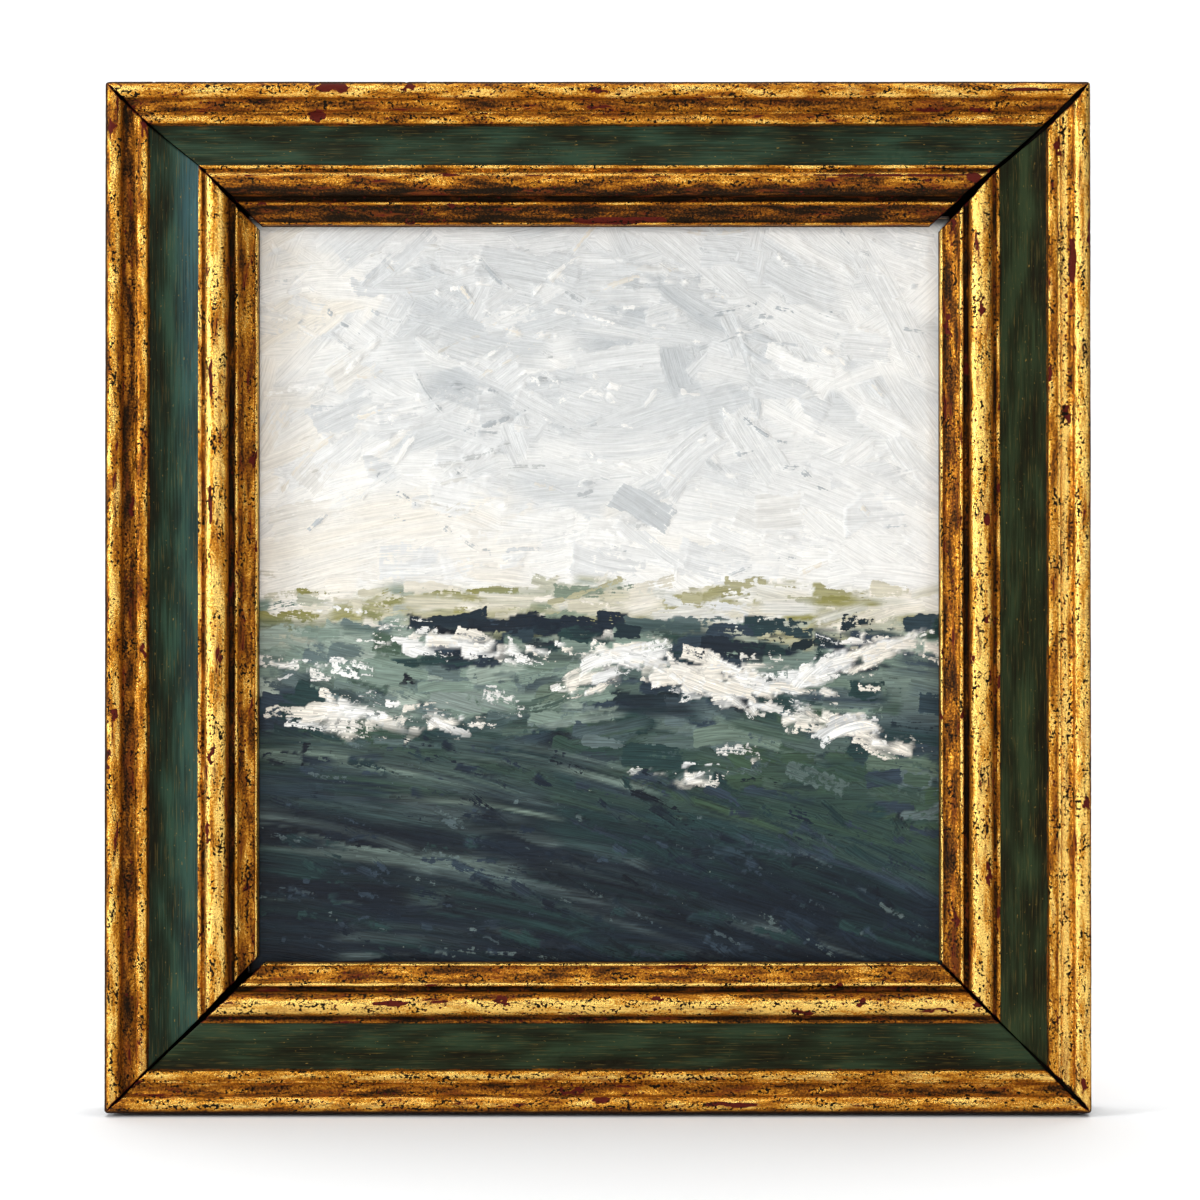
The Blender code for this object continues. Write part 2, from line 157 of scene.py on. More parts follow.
MIDDLE = tuple((low + high) / 2 for low, high in zip(cad_low, cad_high))
add_sweep()
add_light("key", (-1.9, -0.9, 0.3), MIDDLE, (0.4, 1.4), 26, (0.93, 0.97, 1.0))
add_light("front", (-0.3, -2.2, 0.85), MIDDLE, (1.1, 0.6), 14)
add_light("right", (1.6, -1.9, 0.2), MIDDLE, (0.4, 1.2), 6)
add_light("above", (0.0, 0.3, 2.2), (0.0, 0.4, -0.4), (3.2, 2.4), 72)
add_light("backdrop", (0.0, 1.0, 1.7), (0.0, 3.0, 0.0), (3.2, 0.6), 26)

world = bpy.data.worlds.new("studio")
world.use_nodes = True
world.node_tree.nodes["Background"].inputs["Color"].default_value = (1, 1, 1, 1)
world.node_tree.nodes["Background"].inputs["Strength"].default_value = 0.17
bpy.context.scene.world = world
bpy.context.scene.view_settings.view_transform = "Standard"

# %% [markdown]
# ## Noise as arrays
#
# Wear has no pattern, but it has a scale. Each kind of wear starts from smooth random values, worked out for
# every point at once: a lattice of random numbers, eased between its corners. Pits are the same idea with one
# random point in each cell, and the distance to the nearest of them.

# %% Noise helpers
LATTICE = 256


def lattice(seed):
    """A square of random numbers from -1 to 1."""
    return np.random.default_rng(seed).uniform(-1, 1, (LATTICE, LATTICE))


def smooth_noise(x, y, seed):
    """Noise from -1 to 1, one lump a unit: the lattice's values round a point, blended by eased shares."""
    values = lattice(seed)
    column, row = np.floor(x).astype(int), np.floor(y).astype(int)
    across, down = x - column, y - row
    across, down = across * across * (3 - 2 * across), down * down * (3 - 2 * down)

    def corner(right, lower):
        return values[(column + right) % LATTICE, (row + lower) % LATTICE]

    upper = corner(0, 0) * (1 - across) + corner(1, 0) * across
    lower = corner(0, 1) * (1 - across) + corner(1, 1) * across
    return upper * (1 - down) + lower * down


def layered_noise(x, y, seed, layers=3):
    """A sum of noises, each twice as fine and half as strong as the last, scaled back to about -1 to 1."""
    total = sum(smooth_noise(x * 2**i, y * 2**i, seed + i) / 2**i for i in range(layers))
    return total / (2 - 2 ** (1 - layers))


def pits(x, y, seed, share, radius):
    """Cone-shaped pits: in that share of the unit cells, 1 at a random point, falling to 0 at the radius."""
    jitter_x, jitter_y, chosen = lattice(seed), lattice(seed + 1), lattice(seed + 2)
    column, row = np.floor(x).astype(int), np.floor(y).astype(int)
    deepest = np.zeros(np.broadcast(x, y).shape)
    for right in (-1, 0, 1):
        for lower in (-1, 0, 1):
            i, j = (column + right) % LATTICE, (row + lower) % LATTICE
            dx = x - (column + right + 0.5 + 0.4 * jitter_x[i, j])
            dy = y - (row + lower + 0.5 + 0.4 * jitter_y[i, j])
            cone = np.clip(1 - np.hypot(dx, dy) / radius, 0, 1)
            deepest = np.maximum(deepest, np.where(chosen[i, j] < 2 * share - 1, cone, 0))
    return deepest


def eased(value, low, high):
    """0 below low, 1 above high, and an eased step between."""
    share = np.clip((value - low) / (high - low), 0, 1)
    return share * share * (3 - 2 * share)


sample = layered_noise(*np.meshgrid(np.linspace(0, 40, 200), np.linspace(0, 40, 200)), seed=1)
print("noise runs from", round(float(sample.min()), 2), "to", round(float(sample.max()), 2))

# %% [markdown]
# ## A mesh from arrays
#
# Points, faces of any length and attributes go into a mesh in a few calls. An attribute carries a value for
# each point, such as how much leaf is left, and the material reads it by name.

# %% Mesh helper
def mesh_of(name, points, surface, flats, attributes):
    """An object at the origin from points in mm, a smooth surface, flat faces and attributes of the points.

    The flat faces take the second material.
    """
    mesh = bpy.data.meshes.new(name)
    groups = [*surface, *flats]
    sizes = np.concatenate([np.full(len(group), group.shape[1]) for group in groups])
    corners = np.concatenate([group.ravel() for group in groups]).astype(np.int32)
    is_flat = np.arange(len(sizes)) >= sum(len(group) for group in surface)
    mesh.vertices.add(len(points))
    mesh.vertices.foreach_set("co", (points * MM).astype(np.float32).ravel())
    mesh.loops.add(len(corners))
    mesh.loops.foreach_set("vertex_index", corners)
    mesh.polygons.add(len(sizes))
    mesh.polygons.foreach_set("loop_start", (np.cumsum(sizes) - sizes).astype(np.int32))
    mesh.update(calc_edges=True)
    mesh.polygons.foreach_set("use_smooth", ~is_flat)
    mesh.polygons.foreach_set("material_index", is_flat.astype(np.int32))
    for key, values in attributes.items():
        kind, field = ("FLOAT", "value") if values.ndim == 1 else ("FLOAT_VECTOR", "vector")
        layer = mesh.attributes.new(key, kind, "POINT")
        layer.data.foreach_set(field, values.astype(np.float32).ravel())
    obj = bpy.data.objects.new(name, mesh)
    bpy.context.collection.objects.link(obj)
    return obj


# %% [markdown]
# ## The moulding's section
#
# The rails are lengths of one moulding, so one section, carried along a line, gives all four. Its members are
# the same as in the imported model: rounds are half ellipses, hollows are shallow parabolas. Gesso under the
# leaf softens every arris, so the front line is blurred by a fifth of a millimetre along its own length.

# %% Members from the outer to the sight edge, in mm
OUTER_MEMBERS = [
    # shape, width, height at the outer and inner edge, swell
    ("round", 7.6, 28.8, 28.8, 3.2),
    ("round", 5.6, 28.8, 28.8, -1.6),
    ("flat", 0.5, 28.1, 28.1, 0.0),
    ("round", 4.6, 28.1, 28.1, 0.9),
]
FRIEZE_HEIGHT = 25.4
FRIEZE_HOLLOW = -1.1
INNER_MEMBERS = [
    ("flat", 1.8, 27.0, 27.0, 0.0),
    ("flat", 1.0, 26.2, 26.2, 0.0),
    ("round", 10.5, 26.2, 26.2, 4.6),
    ("flat", 1.9, 22.6, 22.6, 0.0),
    ("round", 2.1, 23.8, 23.8, 1.4),
    ("hollow", 6.1, 23.8, 19.8, -0.5),
    ("round", 1.6, 19.4, 19.4, 1.3),
]
OUTER_WIDTH = sum(member[1] for member in OUTER_MEMBERS)
INNER_WIDTH = sum(member[1] for member in INNER_MEMBERS)
SIGHT_HEIGHT = 19.4
REBATE_DEPTH = 14.0
REBATE_WIDTH = 5.5
BACK_CHAMFER = 1.0
FRONT_STEP = 0.55
ARRIS_BLUR = 0.2
FINE_STEP = 0.05


def rail_width(side):
    """A rail's width in mm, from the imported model's box."""
    low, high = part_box("rail_" + side)
    return float(high[2] - low[2] if side in ("top", "bottom") else high[0] - low[0]) / MM


RAIL_WIDTHS = {side: rail_width(side) for side in ("top", "bottom", "left", "right")}
FRIEZE_WIDTHS = {side: width - OUTER_WIDTH - INNER_WIDTH for side, width in RAIL_WIDTHS.items()}
print("frieze widths:", {side: round(width, 2) for side, width in FRIEZE_WIDTHS.items()})


# %% [markdown]
# ## The section as points
#
# Each member becomes a line of points. Joined, blurred and spaced evenly, they make the front. Straight lines
# close it round the sight edge, the rebate, the back and the outer side.

# %% Section as points
def member_line(shape, start, width, outer, inner, swell):
    """One member: half an ellipse over its chord, or a straight line with a parabola of that swell on it."""
    share = np.linspace(0, 1, max(6, int(width / FINE_STEP)))
    if shape == "round":
        turn = np.pi * (1 - share)
        return np.stack([start + width * (1 + np.cos(turn)) / 2, outer + swell * np.sin(turn)], 1)
    bow = 4 * swell * share * (1 - share)
    return np.stack([start + width * share, outer + (inner - outer) * share + bow], 1)


def along_line(points, step):
    """The same line with points at equal steps of its own length."""
    run = np.concatenate([[0], np.cumsum(np.hypot(*np.diff(points, axis=0).T))])
    stops = np.linspace(0, run[-1], max(2, round(run[-1] / step) + 1))
    return np.stack([np.interp(stops, run, points[:, axis]) for axis in (0, 1)], 1)


def blurred(values, reach):
    """A running average with bell-shaped weights over that many points, with the ends held."""
    offsets = np.arange(-4 * reach, 4 * reach + 1)
    weights = np.exp(-0.5 * (offsets / reach) ** 2)
    padded = np.pad(values, len(offsets) // 2, mode="reflect", reflect_type="odd")
    return np.convolve(padded, weights / weights.sum(), mode="valid")


def front_line(side):
    """The moulding's front from its outer to its sight edge, with softened arrises."""
    members = [*OUTER_MEMBERS, ("hollow", FRIEZE_WIDTHS[side], FRIEZE_HEIGHT, FRIEZE_HEIGHT, FRIEZE_HOLLOW)]
    members += INNER_MEMBERS
    pieces, start = [], 0.0
    for shape, width, outer, inner, swell in members:
        pieces.append(member_line(shape, start, width, outer, inner, swell))
        start += width
    fine = along_line(np.concatenate(pieces), FINE_STEP)
    soft = np.stack([blurred(fine[:, axis], round(ARRIS_BLUR / FINE_STEP)) for axis in (0, 1)], 1)
    return along_line(soft, FRONT_STEP)


OPENING_FLOOR = 9.0
OPENING_RAMP = 0.5


def straights(corners, counts):
    """Points on the lines between corners, that many on each line, without the last corner."""
    lines = zip(corners, corners[1:], counts)
    return np.concatenate([np.linspace(start, end, count + 1)[:-1] for start, end, count in lines])


def section(side):
    """The whole closed outline of one rail, clockwise from the back's outer edge."""
    width = RAIL_WIDTHS[side]
    wall = width - REBATE_WIDTH
    floor = OPENING_FLOOR - OPENING_RAMP
    front = front_line(side)
    flank = [(0, BACK_CHAMFER), (0, floor), (0, OPENING_FLOOR), front[0]]
    rebate = [(width, REBATE_DEPTH), (wall, REBATE_DEPTH), (wall, OPENING_FLOOR), (wall, floor), (wall, 0)]
    back = [(BACK_CHAMFER, 0), (0, BACK_CHAMFER)]
    inner = straights([front[-1], *rebate, *back], (7, 3, 2, 1, 2, 9, 1))
    return np.concatenate([straights(flank, (4, 1, 15)), front[:-1], inner])


print("points in the top rail's section:", len(section("top")))

# %% [markdown]
# ## How a mitred rail ends
#
# The joint runs through the crossings of like members, so it bends a little where two friezes differ in
# width. Behind a depth of 9 mm it is still tight. In front of that it stands open, and each side has drawn
# back from the joint by a width that changes along the mitre, as wood does that shrinks across its grain.

# %% Openings of the four mitres, in mm
# Share of the way from the outer to the sight corner, draw-back of the level rail and of the upright
MITRE_OPENINGS = {
    "top_left": [(0, 0.6, 0.7), (0.4, 0.3, 0.3), (0.58, 0.3, 0.3), (0.8, 1.0, 1.0), (1, 1.0, 1.2)],
    "top_right": [
        (0, 0.8, 0.9), (0.2, 1.4, 1.5), (0.5, 1.0, 1.0), (0.72, 2.0, 1.3), (0.86, 2.8, 1.7), (1, 3.6, 1.9),
    ],
    "bottom_left": [(0, 0.5, 0.5), (0.4, 0.7, 0.7), (0.7, 1.7, 1.7), (0.83, 1.8, 1.8), (1, 2.5, 2.4)],
    "bottom_right": [
        (0, 0.8, 0.9), (0.22, 1.1, 1.2), (0.48, 0.3, 0.3), (0.68, 1.0, 1.0), (0.86, 0.5, 0.5), (1, 0.8, 0.8),
    ],
}
# The worn edges of the cuts take up the rest of each opening
OPENING_SHARE = 0.8
TIGHT_GAP = 0.02
FLANK_CLOSED = (0.6, 3.2)

# Each rail: the way its width runs inwards, its length's axis, and the rails met at its near and far end
RAILS = {
    "top": ((0, 0, -1), (-1, 0, 0), ("right", "left")),
    "bottom": ((0, 0, 1), (1, 0, 0), ("left", "right")),
    "left": ((1, 0, 0), (0, 0, -1), ("top", "bottom")),
    "right": ((-1, 0, 0), (0, 0, 1), ("bottom", "top")),
}
LENGTHS = {
    side: float(cad_high[0] - cad_low[0] if side in ("top", "bottom") else cad_high[2] - cad_low[2]) / MM
    for side in RAILS
}


def rail_end(side, other, inwards, opened):
    """Distance from the outer corner to a rail's end: the crossing of like members, and its draw-back."""
    level, upright = (side, other) if side in ("top", "bottom") else (other, side)
    stations = np.array(MITRE_OPENINGS[f"{level}_{upright}"])
    column = 1 if side == level else 2
    own, met = (
        (0, OUTER_WIDTH, OUTER_WIDTH + FRIEZE_WIDTHS[name], RAIL_WIDTHS[name]) for name in (side, other)
    )
    wide = OPENING_SHARE * np.interp(inwards / RAIL_WIDTHS[side], stations[:, 0], stations[:, column])
    wide = TIGHT_GAP + (wide - TIGHT_GAP) * eased(inwards, *FLANK_CLOSED)
    return np.interp(inwards, own, met) + math.sqrt(2) * wide * opened


sight_end = float(rail_end("top", "right", 60.5, 1.0))
print("top rail's sight end stands back by", round(sight_end - 63.6, 1), "mm")

# %% [markdown]
# ## Wear on the rails
#
# A gilder's gesso is never quite even, and a century adds more: lumps and dips, sharp little pits, hairline
# cracks across the leaf, and chips where the mitres opened. Each is a depth in mm, taken off along the
# section's own outward direction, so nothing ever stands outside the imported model.

# %% Depth of the wear
GESSO_WAVE = 0.16
GESSO_LUMPS = 0.09
PIT_DEPTH = 0.35
CHIP_DEPTH = 0.35 * 0.9
EDGE_CHIPS = 0.35


def wear(along, across, from_end, seed):
    """Depth of gesso waves, lumps, pits and chips at each point, and how much of it is broken surface."""
    wave = (1 - smooth_noise(along / 31, across / 9, seed)) / 2
    lumps = (1 - layered_noise(along / 4.5, across / 3.1, seed + 10)) / 2
    often = eased(smooth_noise(along / 26, across / 6, seed + 20), -0.3, 0.5)
    small = eased(pits(along / 2.9, across / 2.6, seed + 30, 0.38, 0.34), 0.0, 0.7) * often
    ragged = layered_noise(along / 2.2, across / 2.2, seed + 50)
    spread = layered_noise(along / 7, across / 4, seed + 55)
    chipped = pits((along + 6 * spread) / 31, (across + 3 * ragged) / 13, seed + 40, 0.2, 0.14)
    chips = eased(chipped, 0.02, 0.25)
    edge = eased(0.5 + 1.1 * ragged - from_end, 0.0, 0.7)
    depth = GESSO_WAVE * wave + GESSO_LUMPS * lumps + PIT_DEPTH * small
    depth += CHIP_DEPTH * chips * (0.7 + 0.3 * ragged) + EDGE_CHIPS * edge
    return depth, np.maximum.reduce([small, 0.8 * chips, edge])


# %% [markdown]
# ## Where each rail is toned, shaded and worn
#
# Some members are toned more than others, and the toning differs from band to band and from rail to rail.
# Besides the gilt's own toning, the bands hold painted shade on members that face away from the light and
# painted highlight on those that catch it. A few patches worn down to the red clay stand out and have their
# own places. All lengths are in mm.

# %% Toning and wear of each side
# Width of the dark edge at the outer side, and bands of toning, each from and to a distance, with an amount:
# painted shade above 0 and painted highlight below 0; from the outer edge, and from the frieze's inner edge
STAINED = {"top": 1.5, "bottom": 1.8, "left": 1.6, "right": 0.7}
OUTER_TONED_AND_LIT = {
    "top": [(2, 6.5, 0.25), (13.4, 18.4, 0.5)],
    "bottom": [(2, 6.5, 0.25), (16.5, 18.4, 0.4)],
    "left": [(2, 13, 0.25), (13.4, 18.4, 0.35)],
    "right": [(6.0, 9.8, -0.4), (9.8, 14, -1.5), (14, 18.4, 0.4)],
}
INNER_TONED_AND_LIT = {
    "top": [
        (0, 2.6, 0.1), (2.8, 5.2, -0.5), (5.2, 7.8, 0.2), (5.2, 40, 0.45), (8, 40, 0.45), (10.5, 13, 0.6),
    ],
    "bottom": [(0, 2.6, 0.9), (4, 10, -0.4), (11, 14, 0.5), (16, 21, 0.2)],
    "left": [(2.6, 5.5, -0.6), (7.6, 12, -0.2), (12, 19, 0.45)],
    "right": [(0, 2.6, 0.3), (7.5, 12, -0.5), (12.5, 24, 0.4)],
}
# Worn through to the clay, by side: along and in from the outer corner, half the length and half the width
BARED = {
    "top": [
        (326, 2.8, 8, 2.6), (332, 15.1, 4.6, 2.3), (26, 4.0, 17, 0.7),
        (202, 58.5, 26, 1.7), (86, 40.4, 34, 0.8), (50, 41.3, 3.5, 2.6),
    ],
    "bottom": [(268, 4.3, 13, 1.2), (122, 47.3, 8.6, 1.3)],
    "left": [(128, 45.6, 8.6, 1.1), (180, 45.6, 8.6, 1.1)],
    "right": [(254, 44.7, 3.5, 1.4), (365, 8, 11, 1.9)],
}
# Painted cool sheen on the frieze, a reflection laid into its colour: how strong, by side, and how far down
# the rail it fades, in mm
PAINTED_SHEEN = {"top": 0.0, "bottom": 0.1, "left": 1.0, "right": 0.0}
PAINTED_SHEEN_FADES = (20, 190)
# How much of a brown glaze lies over the frieze's green, by side
SMOKED = {"top": 0.15, "bottom": 0.75, "left": 0.0, "right": 1.0}
SOFT_SIDE = 0.7


def toned(bands, distance):
    """Toning, painted shade and painted highlight added at some distances, band by band, each with soft
    sides.
    """
    return sum(
        amount * eased(distance, start - SOFT_SIDE, start + SOFT_SIDE)
        * (1 - eased(distance, end - SOFT_SIDE, end + SOFT_SIDE))
        for start, end, amount in bands
    )


def worn_through(side, along, inwards, seed):
    """1 inside that side's bared patches, each an oval with a ragged outline."""
    ragged = 0.9 * layered_noise(along / 5, inwards / 2, seed + 95)
    ovals = [
        1 + ragged - ((along - at) / reach) ** 2 - ((inwards - level) / width) ** 2
        for at, level, reach, width in BARED[side]
    ]
    return eased(np.maximum.reduce(ovals), 0, 0.4)


print("bared patches:", {side: len(patches) for side, patches in BARED.items()})

# %% [markdown]
# ## A rail as a grid
#
# Each rail is a grid: one parameter runs round the section, the other along the rail. A line of the grid
# along the rail runs from one mitre to the other, so the ends need no cutting. The outer corners are eased
# round. The rounding moves points in, where the mitre is longer, so the two are settled in a few turns.

# %% Grid of a rail
LENGTH_STEP = 0.95
CORNER_ROUND = 1.6
SETTLING_TURNS = 8
PLANED_DEPTH = 0.06
MEMBER_DRIFT = 0.12
HOLLOW_REACH = 3.0
HOLLOW_DEPTH = 1.6


def outward(outline):
    """Unit normals of a closed outline: the way to the next point less the one before, turned square."""
    way = np.roll(outline, -1, 0) - np.roll(outline, 1, 0)
    normal = np.stack([-way[:, 1], way[:, 0]], 1)
    return normal / np.linalg.norm(normal, axis=1, keepdims=True)


def sunkenness(outline):
    """How far each point lies below the average of its surroundings on the front, from -1 to 1: painted shade
    in the hollows, painted highlight on the crests.
    """
    heights = blurred(outline[:, 1], round(HOLLOW_REACH / FRONT_STEP))
    return np.clip((heights - outline[:, 1]) / HOLLOW_DEPTH, -1, 1)


def corner_inset(distance):
    """How far a rounded corner stands in from its tangent, that far from the corner."""
    short = CORNER_ROUND - np.minimum(distance, CORNER_ROUND)
    return CORNER_ROUND - np.sqrt(CORNER_ROUND**2 - short**2)


def rail_grid(side, seed):
    """Arrays, rows round the section and columns along the rail: its points, and what its finish needs."""
    outline, normal = section(side), outward(section(side))
    run = np.concatenate([[0], np.cumsum(np.hypot(*np.diff(outline, axis=0).T))])
    share = np.linspace(0, 1, round(LENGTHS[side] / LENGTH_STEP) + 1)[None, :]
    inwards, height = outline[:, :1] + 0 * share, outline[:, 1:] + 0 * share
    across = run[:, None] + 0 * share
    opened = eased(height, OPENING_FLOOR - OPENING_RAMP, OPENING_FLOOR)
    near_rail, far_rail = RAILS[side][2]
    length = LENGTHS[side]
    for _ in range(SETTLING_TURNS):
        near = rail_end(side, near_rail, inwards, opened)
        far = length - rail_end(side, far_rail, inwards, opened)
        along = near + share * (far - near)
        corner = np.minimum(along, length - along)
        rounded = outline[:, :1] + corner_inset(corner) * (outline[:, :1] < CORNER_ROUND)
        inwards = (inwards + rounded) / 2
    on_front = eased(outline[:, 1:], REBATE_DEPTH + 1, SIGHT_HEIGHT - 1) + 0 * share
    depth, broken = wear(along, across, np.minimum(along - near, far - along), seed)
    planed = PLANED_DEPTH * (1 - smooth_noise(along / 25, across / 20, seed + 60))
    depth = depth * on_front + planed * (1 - on_front)
    depth = np.where((height < 0.5) | ((height <= REBATE_DEPTH) & (inwards > 1)), 0, depth)
    drift = MEMBER_DRIFT * smooth_noise(along / 14, inwards / 3, seed + 70) * on_front * (inwards > 2)
    inwards = inwards - normal[:, :1] * depth + drift * (inwards < RAIL_WIDTHS[side] - 1)
    height = height - normal[:, 1:] * depth
    return outline, along, across, np.maximum(inwards, 0), height, on_front, broken


def placed(side, along, inwards, height):
    """World points in mm: from the rail's outer corner inwards, along it and to the front."""
    way_in, way_along = np.array(RAILS[side][:2])
    low, high = np.array(cad_low) / MM, np.array(cad_high) / MM
    middle = np.array([(low[0] + high[0]) / 2, 0, (low[2] + high[2]) / 2])
    half = (high - low) * (1, 0, 1) / 2
    corner = middle - way_in * half - way_along * half
    points = corner + inwards[..., None] * way_in + along[..., None] * way_along
    return points + height[..., None] * np.array((0, -1, 0))


print("points along the top rail:", round(LENGTHS["top"] / LENGTH_STEP) + 1)

# %% [markdown]
# ## The four rails
#
# The grid closes on itself round the section, and outlines close the two ends. Each point also carries what
# the finish reads: how deep it lies in the frieze, how toned, stained, bare or broken it is, and its painted
# shade, highlight and sheen.

# %% Rails
FRIEZE_WANDER = 0.35
NOISE_APART = 7.3


def grid_faces(rows, columns, closed):
    """Quads of a grid, wound so that they face outwards, with the last row joined to the first if closed."""
    row = np.arange(rows if closed else rows - 1)[:, None]
    column = np.arange(columns - 1)[None, :]
    after = (row + 1) % rows
    here, there = row * columns + column, after * columns + column
    return np.stack([here, here + 1, there + 1, there], -1).reshape(-1, 4)


def end_faces(outline, columns):
    """Three flat faces close each end: before the opening's floor, its ledge, and the tight joint behind."""
    at_floor = np.flatnonzero(np.isclose(outline[:, 1], OPENING_FLOOR))
    at_ramp = np.flatnonzero(np.isclose(outline[:, 1], OPENING_FLOOR - OPENING_RAMP))
    front = np.arange(at_floor[0], at_floor[1] + 1)
    ledge = np.array([at_ramp[0], at_floor[0], at_floor[1], at_ramp[1]])
    behind = np.concatenate([np.arange(at_ramp[1], len(outline)), np.arange(0, at_ramp[0] + 1)])
    faces = []
    for ring in (front, ledge, behind):
        faces.append((ring * columns)[None, :])
        faces.append((ring[::-1] * columns + columns - 1)[None, :])
    return faces


def make_rail(side, seed):
    """One rail as a closed mesh, with what its material reads: where a point is, its paint, its wear, and its
    painted shade, highlight and sheen.
    """
    outline, along, across, inwards, height, on_front, broken = rail_grid(side, seed)
    points = placed(side, along, inwards, height)
    rows, columns = along.shape
    wander = FRIEZE_WANDER * layered_noise(along / 9, 0 * along, seed + 80)
    start, end = OUTER_WIDTH, OUTER_WIDTH + FRIEZE_WIDTHS[side]
    frieze = np.minimum(inwards - start - 0.15 - wander, end - inwards - 0.1 + 0.5 * wander)
    # Painted shade in the hollows and painted highlight on the crests, over the gilder's toning
    toning_and_light = (sunkenness(outline)[:, None] + 0 * along) * on_front
    stain = STAINED[side]
    worn_line = inwards + 0.3 * layered_noise(along / 6, across / 6, seed + 90)
    turned_over = eased(worn_line, 0.6 * stain, 1.2 * stain)
    gilt = np.where(inwards < 4, turned_over, on_front)
    # Darker just inside the stained outer edge, then each side's bands of toning with painted shade and
    # painted highlight
    toning_and_light = toning_and_light + 0.7 * (1 - eased(inwards, stain, 2 * stain)) * on_front
    toning_and_light = toning_and_light + (toned(OUTER_TONED_AND_LIT[side], inwards) + toned(INNER_TONED_AND_LIT[side], inwards - end)) * on_front
    share_in = np.clip((inwards - start) / (end - start), 0, 1)
    # Painted cool sheen on the inner half of the frieze, fading down the rail
    painted_sheen = PAINTED_SHEEN[side] * eased(share_in, 0.35, 0.95) * (1 - 0.75 * eased(along, *PAINTED_SHEEN_FADES))
    attributes = {
        "place": np.stack([along + NOISE_APART * seed, across, np.full_like(along, seed)], -1).reshape(-1, 3),
        "frieze": (frieze * on_front - 9 * (1 - on_front)).ravel(),
        "frieze_share": share_in.ravel(),
        "painted_sheen": painted_sheen.ravel(),
        "smoked": np.full(painted_sheen.size, SMOKED[side]),
        "gilt": gilt.ravel(),
        "bare": eased(0.6 - height, 0, 0.4).ravel(),
        "toning_and_light": toning_and_light.ravel(),
        "broken": (np.maximum(broken, worn_through(side, along, inwards, seed)) * on_front).ravel(),
    }
    surface, ends = [grid_faces(rows, columns, closed=True)], end_faces(outline, columns)
    rail = mesh_of("gilded_rail_" + side, points.reshape(-1, 3), surface, ends, attributes)
    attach(rail, "root")
    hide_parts("rail_" + side)
    print(rail.name, "has", len(rail.data.polygons), "faces")
    return rail


rails = {side: make_rail(side, 100 * (number + 1)) for number, side in enumerate(RAILS)}


# %% [markdown]
# ## Small tools for materials
#
# A material is a graph of nodes. Two small classes keep each graph short enough to read. A Number is a node's
# output that can be reckoned with: a sum or product of Numbers adds a node. A Finish is the material itself,
# with calls for the kinds of node that come up most.

# %% Node helpers
class Number:
    """The output of a node, for + - * and others: each makes a node and gives its output."""

    def __init__(self, finish, socket):
        self.finish, self.socket = finish, socket

    def __add__(self, other):
        return self.finish.maths("ADD", self, other)

    def __sub__(self, other):
        return self.finish.maths("SUBTRACT", self, other)

    def __rsub__(self, other):
        return self.finish.maths("SUBTRACT", other, self)

    def __mul__(self, other):
        return self.finish.maths("MULTIPLY", self, other)

    def larger(self, other):
        return self.finish.maths("MAXIMUM", self, other)


class Finish:
    """A material with its node tree, whose calls add nodes and return what they put out."""

    def __init__(self, name, roughness=0.5, metallic=0.0, specular=0.5):
        self.material = bpy.data.materials.new(name)
        self.material.use_nodes = True
        self.tree = self.material.node_tree
        self.shader = self.tree.nodes["Principled BSDF"].inputs
        self.shader["Roughness"].default_value = roughness
        self.shader["Metallic"].default_value = metallic
        self.shader["Specular IOR Level"].default_value = specular

    def fill(self, sockets, values):
        """Fills inputs from plain values or from other nodes. A colour of three parts is made opaque."""
        for key, value in values.items():
            if isinstance(value, Number):
                self.tree.links.new(value.socket, sockets[key])
            elif sockets[key].type == "RGBA":
                sockets[key].default_value = (*value[:3], 1)
            else:
                sockets[key].default_value = value

    def add(self, kind, inputs, output=0, **settings):
        """Adds a node, sets its properties, fills its inputs and gives one output."""
        made = self.tree.nodes.new("ShaderNode" + kind)
        for key, value in settings.items():
            setattr(made, key, value)
        self.fill(made.inputs, inputs)
        return Number(self, made.outputs[output])

    def maths(self, how, first, second):
        """One operation on two numbers."""
        return self.add("Math", {0: first, 1: second}, operation=how)

    def step(self, value, low, high):
        """An eased step from 0 at low to 1 at high."""
        inputs = {"Value": value, "From Min": low, "From Max": high}
        return self.add("MapRange", inputs, interpolation_type="SMOOTHSTEP")

    def grain(self, vector, scale, detail=3.0, rough=0.55, twist=0.0):
        """Layered noise, about 0.3 to 0.7, on a stretched vector, and in 2-D where the third scale is 0."""
        stretched = self.add("VectorMath", {0: vector, 1: scale}, operation="MULTIPLY")
        inputs = {"Vector": stretched, "Scale": 1.0, "Detail": detail, "Roughness": rough}
        inputs["Distortion"] = twist
        return self.add("TexNoise", inputs, "Fac", noise_dimensions="3D" if scale[2] else "2D")

    def mixed(self, share, first, second, how="MIX"):
        """Two colours mixed by a share."""
        inputs = {0: share, 6: first, 7: second}
        return self.add("Mix", inputs, 2, data_type="RGBA", blend_type=how)

    def ramp(self, value, stops):
        """A colour for a value, from (place, colour) stops."""
        made = self.add("ValToRGB", {"Fac": value})
        elements = made.socket.node.color_ramp.elements
        while len(elements) < len(stops):
            elements.new(0.5)
        for element, (place, colour) in zip(elements, stops):
            element.position = place
            element.color = (*colour, 1)
        return made

    def attribute(self, name, output="Fac"):
        """What the mesh says of a point under that name."""
        return self.add("Attribute", {}, output, attribute_name=name)

    def place(self):
        """Where a point lies in its object, in metres."""
        return self.add("TexCoord", {}, "Object")

    def raised(self, height_mm, strength=1.0):
        """Bump from a height in mm."""
        inputs = {"Height": height_mm, "Distance": MM, "Strength": strength}
        self.fill(self.shader, {"Normal": self.add("Bump", inputs)})


def srgb(red, green, blue):
    """A colour picked on a screen, from 0 to 255, as the light that it stands for."""
    values = np.array([red, green, blue]) / 255
    return tuple(np.where(values < 0.04045, values / 12.92, ((values + 0.055) / 1.055) ** 2.4).tolist())
